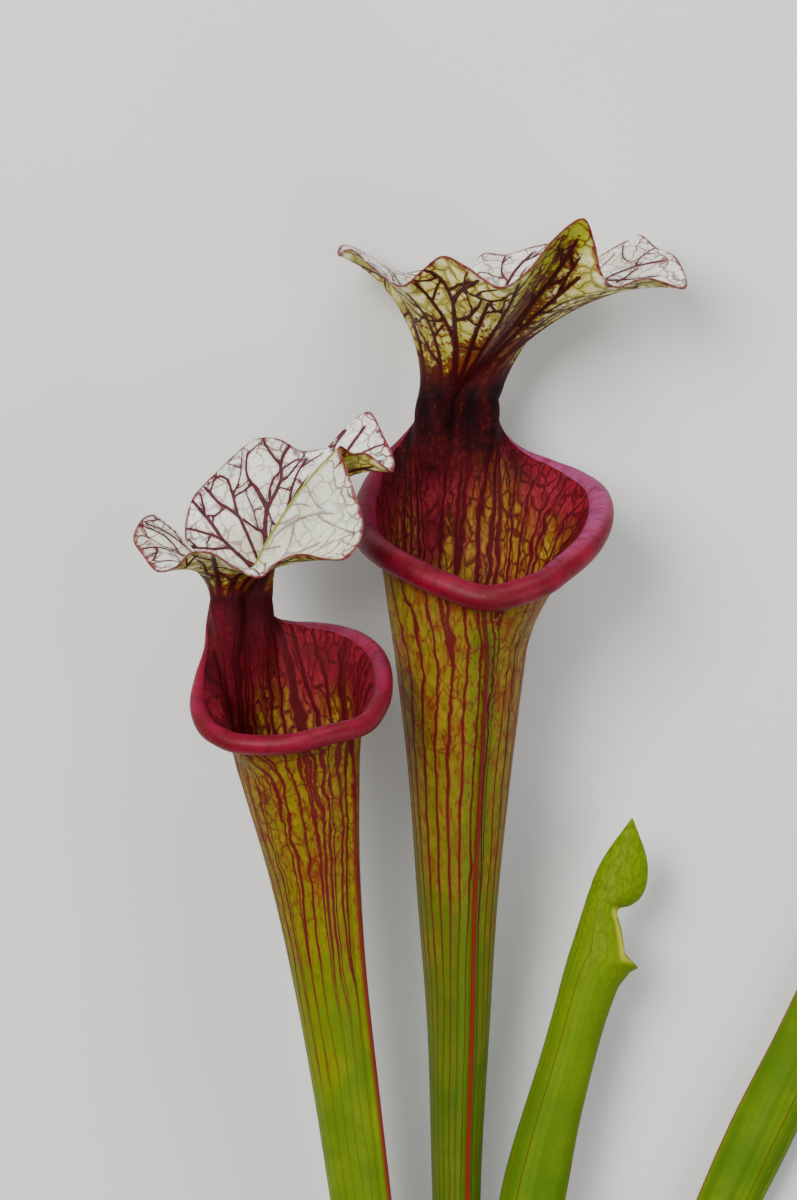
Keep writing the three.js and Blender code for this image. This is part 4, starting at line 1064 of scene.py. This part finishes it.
class Finish:
    """A material made of nodes, from the object's own coordinates and attributes."""

    def __init__(self, name):
        self.material = bpy.data.materials.new(name)
        self.material.use_nodes = True
        self.tree = self.material.node_tree
        self.shader = next(n for n in self.tree.nodes if n.type == "BSDF_PRINCIPLED")
        self.object = self.node("TexCoord", output="Object")

    def put(self, socket, value):
        if isinstance(value, Wire):
            self.tree.links.new(value.socket, socket)
        else:
            socket.default_value = value

    def node(self, kind, *values, output=0, inputs=None, **settings):
        """A new node's output, with its first inputs, its named inputs and its settings given."""
        node = self.tree.nodes.new("ShaderNode" + kind)
        for name, setting in settings.items():
            setattr(node, name, setting)
        for socket, value in zip(node.inputs, values):
            self.put(socket, value)
        for name, value in (inputs or {}).items():
            self.put(node.inputs[name], value)
        return Wire(self, node.outputs[output])

    def math(self, operation, *values):
        return self.node("Math", *values, operation=operation)

    def values(self, *names):
        return [self.node("Attribute", output="Fac", attribute_name=name) for name in names]

    def place(self, x, y, z=0.0):
        return self.node("CombineXYZ", x, y, z)

    def noise(self, scale, detail=2.0, where=None, output="Fac"):
        inputs = {"Vector": where or self.object, "Scale": scale, "Detail": detail}
        return self.node("TexNoise", output=output, inputs=inputs)

    def cells(self, scale, where):
        """The distance to the edge between cells."""
        inputs = {"Vector": where, "Scale": scale}
        return self.node("TexVoronoi", output="Distance", inputs=inputs, feature="DISTANCE_TO_EDGE")

    def cell_chance(self, scale, where):
        """One chance value for each cell, 0 to 1."""
        colour = self.node("TexVoronoi", output="Color", inputs={"Vector": where, "Scale": scale})
        return self.node("SeparateColor", colour)

    def chance(self, number, seed):
        spot = self.place(number, seed)
        inputs = {"Vector": spot}
        return self.node("TexWhiteNoise", output="Value", inputs=inputs, noise_dimensions="2D")

    def stretched(self, where, scale, lengthwise):
        """Coordinates scaled so that a pattern runs along the leaves, which lie lengthwise."""
        sizes = (scale, scale * lengthwise, scale)
        return self.node("VectorMath", where, sizes, operation="MULTIPLY")

    def shifted(self, reach, scale):
        """The object's coordinates, moved a little by noise so that cells lose their straight edges."""
        noise = self.noise(scale, output="Color")
        centred = self.node("VectorMath", noise, (0.5, 0.5, 0.5), operation="SUBTRACT")
        values = (centred, (reach, reach, reach), self.object)
        return self.node("VectorMath", *values, operation="MULTIPLY_ADD")

    def mix(self, share, low, high):
        """From one colour to another. Colours of three numbers are as the eye names them."""
        node = self.tree.nodes.new("ShaderNodeMix")
        node.data_type = "RGBA"
        self.put(node.inputs[0], share)
        for place, colour in ((6, low), (7, high)):
            named = isinstance(colour, tuple) and len(colour) == 3
            self.put(node.inputs[place], paint(colour) if named else colour)
        return Wire(self, node.outputs[2])

    def maroon(self, tones):
        """The dark skin of a neck, with dull red blotches, the same on the tube and the hood."""
        blotch = self.noise(240, 5, self.stretched(self.object, 1, 0.4)).smooth(0.4, 0.74)
        speck = self.noise(1000, 3).smooth(0.52, 0.72)
        dark = self.mix(blotch * 0.9, tones["neck_dark"], tones["neck_light"])
        return dark.tint(speck * blotch * 0.5, (128, 46, 24))

    def finish(self, colour, roughness, height, depth, glow=0.06, gloss=0.17):
        """Sets the colour, a roughness that varies, and relief whose depth is in millimetres."""
        relief = {"Strength": 1, "Distance": depth * MM, "Height": height}
        settings = {
            "Base Color": colour, "Roughness": roughness, "Normal": self.node("Bump", inputs=relief),
            "Specular IOR Level": gloss, "Subsurface Weight": glow,
            "Subsurface Radius": GLOW_RADIUS, "Subsurface Scale": 1,
        }
        for name, value in settings.items():
            self.put(self.shader.inputs[name], value)
        return self.material


def lengthwise_veins(look, tones):
    """Veins that run along a tube and fork on the way up: the distance to one, and its number."""
    around, along, girth = look.values("around", "along", "girth")
    count, seed = tones["veins"], tones["seed"]
    drift = look.stretched(look.object, 1, 0.3)
    sway = look.noise(70, 2, drift) - 0.5
    ripple = look.noise(330, 2, look.stretched(look.object, 1, 0.6)) - 0.5
    waver = along.smooth(*tones["mouth_from"], 0.2, 0.7)
    x = around * count + sway * 1.5 + ripple * waver
    cell = look.math("FLOOR", x)
    offset = x - cell - 0.5
    cell = look.math("FLOORED_MODULO", cell, count)
    for level, (start, spread, length, reach, share) in enumerate(tones["forks"]):
        side = look.math("SIGN", offset)
        draw = look.chance(cell * 7 + side * 2, seed + level)
        low = draw * spread + start
        parts = look.math("LESS_THAN", look.chance(cell * 5 + side, seed - level), share)
        parting = along.smooth(low, low + length, 0.0, reach) * parts
        offset = abs(offset) - parting
    return abs(offset) * girth * (1 / count), cell


def tube_finish(plan):
    """The veined skin of a mature tube, outside and in."""
    tones = plan["tones"]
    look = Finish(plan["name"] + "_skin")
    distance, cell = lengthwise_veins(look, tones)
    along, inside, neck, flare = look.values("along", "inside", "neck", "flare")
    wing, girth, turn, side = look.values("wing", "girth", "turn", "side")
    patch, grain, fine = look.noise(90, 3), look.noise(450, 3), look.noise(1500, 2)
    lengthwise = look.stretched(look.shifted(0.0022, 260), 1, 0.42)
    dash = look.noise(1, 2, look.stretched(look.object, 1300, 0.22))

    low, high = tones["red_from"]
    redness = (along + (patch - 0.5) * 70).smooth(low, high)
    bold = look.chance(cell, tones["seed"] + 9).smooth(0.1, 0.9, 0.55, 1.25)
    width = redness * 0.2 + flare * 0.12 + grain * 0.12 + 0.04
    width = width * bold
    vein = distance.fall(width * 0.75, width + 0.14)
    crowded = girth.fall(24, 48) * redness * (1 - inside)
    spare = look.chance(cell, tones["seed"] + 3).smooth(0.45, 0.5)
    vein = vein * (1 - crowded * spare)
    vein = vein * redness.smooth(0, 0.5, tones["faint"], 0.95)
    halo = distance.fall(0, width + 0.7)
    uneven = look.noise(200, 2).smooth(0.42, 0.6, 0.1, 0.85)
    net = look.cells(330, lengthwise).fall(0.015, 0.07) * redness.smooth(0.3, 1.0) * uneven
    speck = dash.smooth(0.52, 0.66) * redness.smooth(0.05, 0.9, 0.06, 0.75)
    mouth_net = look.cells(240, look.stretched(look.shifted(0.003, 260), 1, 0.42))
    mouth_net = mouth_net.fall(0.01, 0.05)
    by_mouth = (along + (patch - 0.5) * 30).smooth(*tones["mouth_from"])
    mouth_net = mouth_net * by_mouth * tones["mouth_net"]

    green = look.mix(patch.smooth(0.3, 0.7), tones["green"], tones["green_light"])
    olive = look.mix(grain.smooth(0.3, 0.7), tones["olive"], tones["olive_light"])
    ground = look.mix(redness, green, olive)
    foot = along.fall(8, 75)
    ground = ground.tint(foot * 0.8, (134, 86, 48))
    blush = side.smooth(*tones["blush_side"]) * redness * 0.4
    ground = ground.tint(blush, tones["blush"])
    top_red = flare.smooth(0.35, 1.0) * patch.smooth(0.35, 0.65) * 0.5
    ground = ground.tint(top_red, tones["net"])
    ground = ground.tint(halo * redness * 0.35, tones["net"])
    cloud = look.noise(260, 3, look.stretched(look.object, 1, 0.45)).smooth(0.5, 0.68)
    ground = ground.tint(cloud * redness * 0.6, (122, 50, 18))
    band = turn.smooth(0.98, 0.993) * (1 - flare.smooth(0.4, 0.8))
    ground = ground.tint(band * tones["band"], tones["green_light"])
    ground = ground.tint(neck * 0.7, (60, 6, 10))
    skin = look.mix(look.math("MAXIMUM", net, speck), ground, tones["net"])
    skin = skin.tint(mouth_net, tones["vein"])
    skin = skin.tint(vein, tones["vein"])
    wing_tone = look.mix(along.smooth(150, 225), tones["wing"], (88, 4, 20))
    skin = skin.tint(wing.smooth(0.3, 0.9) * 0.92, wing_tone)

    middle = abs(side + 0.08).fall(0.03, 0.2)
    middle = middle * turn.fall(-0.9, -0.6)
    by_side = middle * 0.3 + side.smooth(0.1, 0.7) * -0.14
    high_up = flare + (patch - 0.5) * 0.6 + by_side
    deep = high_up.smooth(*tones["yellow_to"])
    flesh = look.mix(patch.smooth(0.35, 0.65), (102, 9, 24), (138, 32, 46))
    warm = look.mix(grain.smooth(0.35, 0.65), (130, 98, 14), (152, 124, 30))
    inner = look.mix(deep, warm, flesh)
    large = look.cell_chance(400, lengthwise) - deep
    tiny = look.cell_chance(760, lengthwise) - deep * 0.9
    spot = (large * 0.5 + tiny * 0.6).smooth(0.02, 0.5)
    inner = inner.tint(spot * 0.8, look.mix(grain, (150, 108, 22), (172, 150, 50)))
    rim = flare.smooth(0.75, 1.0) * (1 - neck)
    inner = inner.tint(rim * 0.7, (126, 10, 36))
    inner_net = look.cells(400, lengthwise).fall(0.02, 0.12)
    tiny_net = look.cells(760, lengthwise).fall(0.03, 0.16)
    inner = inner.tint(tiny_net * 0.5, (96, 10, 14))
    inner = inner.tint(inner_net * 0.85, (66, 2, 10))
    inner = inner.tint(speck * 0.6, (104, 10, 14))
    beside = distance.fall(width + 0.1, width + 1.3)
    inner = inner.tint(beside * 0.7, flesh)
    wide = distance.fall(width + 0.02, width + 0.4)
    inner = inner.tint(wide * 0.9, (72, 3, 10))
    shade = (turn + (patch - 0.5) * 0.6).fall(-0.8, 0.0)
    dark = shade * (flare + (grain - 0.5) * 0.3).smooth(*tones["neck_from"])
    at_joint = neck * flare.smooth(0.72, 0.94)
    inner = inner.tint(look.math("MAXIMUM", dark, at_joint), look.maroon(tones))
    skin = skin.tint(inside, inner)

    relief = vein * 0.5 + grain * 0.35 + fine * 0.18
    shine = grain * 0.18 + inside * 0.08 + neck * 0.2 + 0.4
    return look.finish(skin, shine + 0.1, relief, 0.2, gloss=0.13)


def lip_finish(plan):
    """The rolled lip: crimson with faint streaks across the roll, and a painted pink sheen on its upper,
    inward side, so that it is darker below.
    """
    look = Finish(plan["name"] + "_lip_skin")
    along, around, inward, side = look.values("along", "around", "inward", "side")
    streak = look.noise(1, 3, look.place(along * 0.9, around * 3))
    patch, fine = look.noise(160, 3), look.noise(1300, 2)
    red = look.mix(patch.smooth(0.35, 0.68), (100, 0, 20), (126, 2, 38))
    red = red.tint(streak.smooth(0.5, 0.75) * 0.5, (90, 2, 18))
    # Painted sheen: a pink reflection painted on the upward, inward face of the roll, stronger towards one
    # side of the mouth
    painted_sheen_share = side.smooth(0.1, 0.95, *plan["tones"]["painted_sheen_share"])
    light = inward.smooth(-0.3, 0.9) * streak.smooth(0.3, 0.6, 0.4, 1.0) * painted_sheen_share
    red = red.tint(light, (166, 84, 132))
    relief = streak * 0.5 + patch * 0.5 + fine * 0.2
    return look.finish(red, fine * 0.14 + 0.4, relief, 0.25, gloss=0.22)


def hood_finish(plan):
    """The hood: white with wine veins and a green rib on top, yellow-green and red below."""
    look = Finish(plan["name"] + "_hood_skin")
    tones = plan["tones"]
    side, far, width = look.values("vein_side", "vein_far", "vein_width")
    top, reach, margin, rib, place = look.values("top", "reach", "margin", "rib", "place")
    patch, grain, fine = look.noise(100, 3), look.noise(430, 3), look.noise(1600, 2)
    waver = (look.noise(600, 2) - 0.5) * 0.3
    near = abs(side + waver)
    reachable = (far - width).fall(0.25, 0.5)
    vein = near.fall(width * 0.8, width + 0.12) * reachable
    halo = far.fall(0.0, width * 2.2 + 0.5)
    coarse = look.cells(250, look.shifted(0.005, 190)).fall(0.02, 0.075)
    net = look.cells(540, look.shifted(0.003, 420)).fall(0.02, 0.09)
    edge = (margin + (patch - 0.5) * 6).fall(1.0, 7.0)

    lobe = place.smooth(-0.5, -0.4) * place.fall(0.0, 0.08) * tones["green_lobe"]
    white = look.mix(patch.smooth(0.35, 0.7), (244, 243, 234), (220, 218, 200))
    white = white.tint(reach.fall(0.15, 0.75) * 0.4, (190, 190, 120))
    white = white.tint(lobe * 0.2, (186, 198, 130))
    white = white.tint(halo * 0.3, (172, 116, 120))
    wine = look.mix(grain.smooth(0.35, 0.65), (58, 6, 20), (84, 16, 34))
    web = look.mix(lobe, (122, 58, 64), (126, 134, 62))
    above = look.mix(net * (edge * 0.3 + 0.16), white, web)
    strength = patch.smooth(0.35, 0.6, 0.25, 0.6) + edge * 0.35
    above = above.tint(coarse * strength, look.mix(edge, web, (96, 24, 42)))
    above = above.tint(vein * (0.97 - lobe * 0.45), wine)
    rib_line = (rib + waver).fall(0.3, reach.smooth(0.2, 1.0, 1.5, 0.8))
    above = above.tint(rib_line * 0.92, (132, 138, 12))

    yellow = look.mix(patch.smooth(0.35, 0.65), (150, 150, 16), (182, 176, 44))
    centre = look.cells(250, look.shifted(0.005, 190)).smooth(0.07, 0.26)
    cream = look.mix(patch.smooth(0.35, 0.65), (242, 232, 190), (230, 220, 150))
    pale = reach.smooth(0.25, 0.95, 0.12, 0.95) * centre.smooth(0.0, 1.0, 0.2, 1.0)
    yellow = yellow.tint(pale, cream)
    tip = abs(place).fall(0.06, 0.13) * reach.smooth(0.45, 0.7)
    yellow = yellow.tint(tip * 0.95, (152, 158, 10))
    below = look.mix(net * 0.3, yellow, (122, 112, 12))
    bold_net = patch.smooth(0.4, 0.6, 0.2, 0.7) + edge * 0.2
    below = below.tint(coarse * bold_net, (96, 26, 14))
    below = below.tint(halo * 0.3, (142, 70, 24))
    around_vein = far.fall(0.4, 3.2)
    around_rib = rib.fall(2, 9)
    flush = look.noise(800, 3) + around_vein * 0.19 + around_rib * 0.18 + reach * -0.36
    below = below.tint(flush.smooth(0.45, 0.56) * 0.88, (100, 8, 12))
    thick = near.fall(width * 1.1, width * 1.15 + 0.24)
    below = below.tint(thick * reachable * 0.97, (60, 4, 8))
    dark_low, dark_high = tones["hood_dark"]
    blotch = reach * -1 + (look.noise(380, 4) - 0.5) * 0.7
    mottle = blotch.smooth(-dark_high - 0.06, -dark_high + 0.03)
    dark_skin = look.maroon(tones)
    below = below.tint(mottle * 0.9, look.mix(0.4, dark_skin, (96, 8, 10)))
    deep = (reach + (grain - 0.5) * 0.16).fall(dark_low, dark_high)
    below = below.tint(deep, dark_skin)
    dark_rib = (rib + waver * 3).fall(0.4, reach.smooth(0.1, 0.95, 3.4, 1.0))
    dark_rib = dark_rib * grain.smooth(0.35, 0.6, 0.75, 1.0) * reach.smooth(0.02, 0.2)
    below = below.tint(dark_rib, (62, 3, 6))

    skin = look.mix(top, below, above)
    frill = (margin + (grain - 0.5) * 2.4).fall(0.15, 0.95)
    skin = skin.tint(frill * 0.9, (106, 7, 32))
    relief = vein * 0.55 + coarse * 0.25 + grain * 0.3 + fine * 0.12
    shine = grain * 0.18 + (1 - top) * deep * 0.16 + 0.42
    return look.finish(skin, shine + 0.06, relief, 0.24, 0.1, gloss=0.14)


def young_finish(name, pale):
    """A young leaf: lime green with fine lengthwise veins and a red line along its front."""
    look = Finish(name + "_skin")
    around, along, front, inside = look.values("around", "along", "front", "inside")
    patch, grain, fine = look.noise(80, 3), look.noise(500, 3), look.noise(1500, 2)
    sway = look.noise(60, 2, look.stretched(look.object, 1, 0.3)) - 0.5
    x = around * 26 + sway * 0.9
    offset = abs(look.math("FRACT", x) - 0.5)
    line = offset.fall(0.02, 0.1)
    draw = look.chance(look.math("FLOOR", x), YOUNG_LINES)
    bold = line * draw.smooth(0.78, 0.8)
    stripe = look.noise(1, 1, look.place(around * 14, along * 0.004)).smooth(0.4, 0.6)
    green = look.mix(patch.smooth(0.3, 0.7), (76, 110, 0), (100, 126, 2))
    green = green.tint(stripe * along.smooth(60, 190, 0.7, 0.25), (60, 94, 0))
    green = green.tint(along.smooth(110, 200), pale)
    green = green.tint(along.fall(0, 60) * 0.8, (142, 112, 68))
    green = green.tint(grain.smooth(0.5, 0.7) * 0.3, (74, 104, 0))
    web = look.cells(520, look.stretched(look.shifted(0.004, 300), 1, 0.45)).fall(0.02, 0.16)
    green = green.tint(web * along.smooth(150, 190, 0.06, 0.42), (66, 92, 0))
    green = green.tint(line * 0.3, (64, 92, 0))
    green = green.tint(bold * along.smooth(150, 190, 0.95, 0.3), (92, 40, 4))
    crest = (front + (grain - 0.5) * 0.02).smooth(0.955, 0.985)
    crest = crest * along.fall(*YOUNG_CREST_END)
    green = green.tint(crest * 0.85, (134, 20, 8))
    rim = front.smooth(0.3, 0.45) * along.smooth(*YOUNG_RIM_START)
    rim = rim * along.fall(*YOUNG_RIM_END)
    green = green.tint(rim * 0.8, (176, 174, 46))
    point = front.smooth(0.9, 0.99) * abs(along - YOUNG_POINT).fall(0.5, 3)
    green = green.tint(point * 0.8, (166, 66, 16))
    skin = look.mix(inside * 0.75, green, (176, 172, 46))
    relief = line * 0.1 + grain * 0.3 + fine * 0.15
    return look.finish(skin, grain * 0.16 + 0.5, relief, 0.14, 0.1, gloss=0.1)


def rootstock_finish():
    """Brown fibrous bark on the rootstock, and paler roots with white tips."""
    look = Finish("rootstock_bark")
    along, around, reach, rings = look.values("along", "around", "reach", "ring")
    fibre = look.noise(1, 4, look.place(around * 90, along * 0.35))
    patch, grain, fine = look.noise(140, 4), look.noise(700, 4), look.noise(2200, 2)
    bark = look.mix(patch.smooth(0.35, 0.65), (66, 44, 30), (112, 80, 54))
    bark = bark.tint(fibre.smooth(0.5, 0.7) * 0.7, (146, 112, 80))
    bark = bark.tint(grain.smooth(0.56, 0.72), (40, 26, 18))
    ring = (rings + (grain - 0.5) * 0.8).smooth(0.15, 0.85)
    bark = bark.tint(ring * 0.85, (34, 20, 13))
    root = look.mix(grain.smooth(0.35, 0.65), (120, 84, 54), (164, 128, 92))
    root = root.tint(reach.smooth(0.75, 1.0), (214, 198, 166))
    skin = look.mix(reach.smooth(0.04, 0.2), bark, root)
    relief = fibre * 0.6 + grain * 0.6 + fine * 0.2
    return look.finish(skin, fine * 0.15 + 0.72, relief, 0.5, 0.0)


def floor_finish():
    look = Finish("pale_surface")
    patch, fine = look.noise(9, 3), look.noise(900, 2)
    tone = look.mix(patch, FLOOR_TONE, FLOOR_TONE_LIGHT)
    return look.finish(tone, patch * 0.1 + 0.75, fine, 0.02, 0.0)


# The plant

def settle(piece, node, material):
    piece.data.materials.clear()
    piece.data.materials.append(material)
    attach(piece, "root")
    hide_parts(node)


def make_mature(plan):
    plan["neck_rows"] = neck_rows(plan)
    name = plan["name"]
    tube = make_piece(name + "_tube_skin", *tube_surface(plan), wrap=True)
    settle(tube, name + "_tube", tube_finish(plan))
    lip = make_piece(name + "_lip_skin", *lip_surface(plan), wrap=True)
    settle(lip, name + "_lip", lip_finish(plan))
    hood = make_piece(name + "_hood_skin", *hood_surface(plan), wrap=False, weld_rows=True)
    settle(hood, name + "_hood", hood_finish(plan))


def make_young(name, axis, side, pale):
    grid = young_surface(YOUNG_OUTLINE, axis, side, YOUNG_ROWS, YOUNG_SIDES)
    body = make_piece(name + "_skin", *grid, wrap=True)
    points, values = young_surface(YOUNG_HOLLOW, axis, side, YOUNG_ROWS // 2, YOUNG_SIDES // 2)
    values["inside"] = np.ones_like(values["inside"])
    cut_hollow(body, make_piece(name + "_hollow", points, values, wrap=True))
    settle(body, name, young_finish(name, pale))


def make_rootstock():
    parts = [make_piece("rootstock_body", *rootstock_surface(), wrap=True)]
    parts += make_roots()
    for sizes in SCALES:
        parts.append(make_piece("old_scale", *scale_surface(*sizes), wrap=False, weld_rows=True))
    piece = join_pieces("rootstock_skin", parts)
    settle(piece, "rootstock", rootstock_finish())


def make_surroundings():
    floor = add_object("surface", flat_grid("surface", 1, 1, FLOOR_HALF))
    floor.data.materials.append(floor_finish())
    for name, place, size, power, colour in LIGHTS:
        lamp = bpy.data.lights.new(name, "AREA")
        lamp.size = size
        lamp.energy = power
        lamp.color = colour
        light = add_object(name, lamp)
        light.location = place
        toward = mathutils.Vector(LIGHTS_AIM) - mathutils.Vector(place)
        light.rotation_euler = toward.to_track_quat("-Z", "Y").to_euler()
    world = bpy.data.worlds.new("studio")
    world.use_nodes = True
    background = next(n for n in world.node_tree.nodes if n.type == "BACKGROUND")
    background.inputs["Color"].default_value = WORLD_TONE
    background.inputs["Strength"].default_value = WORLD_STRENGTH
    bpy.context.scene.world = world


def make_camera():
    """Straight above the plant, framed as the photo is."""
    lens = bpy.data.cameras.new("camera")
    lens.sensor_width = SENSOR
    lens.lens = SENSOR / 2 / (PHOTO_HEIGHT * MM_PER_PIXEL / 2 / CAMERA_DISTANCE)
    lens.clip_start = 0.01
    lens.clip_end = 20
    camera = add_object("camera", lens)
    camera.location = [c * MM for c in CAMERA_AIM + CROWN + UP * CAMERA_DISTANCE]
    bpy.context.scene.camera = camera


make_camera()
make_surroundings()
for plan in (tall, small):
    make_mature(plan)
make_young("young_pitcher", YOUNG_AXIS, 1, (108, 130, 0))
make_young("side_pitcher", SIDE_AXIS, -1, (94, 116, 0))
make_rootstock()
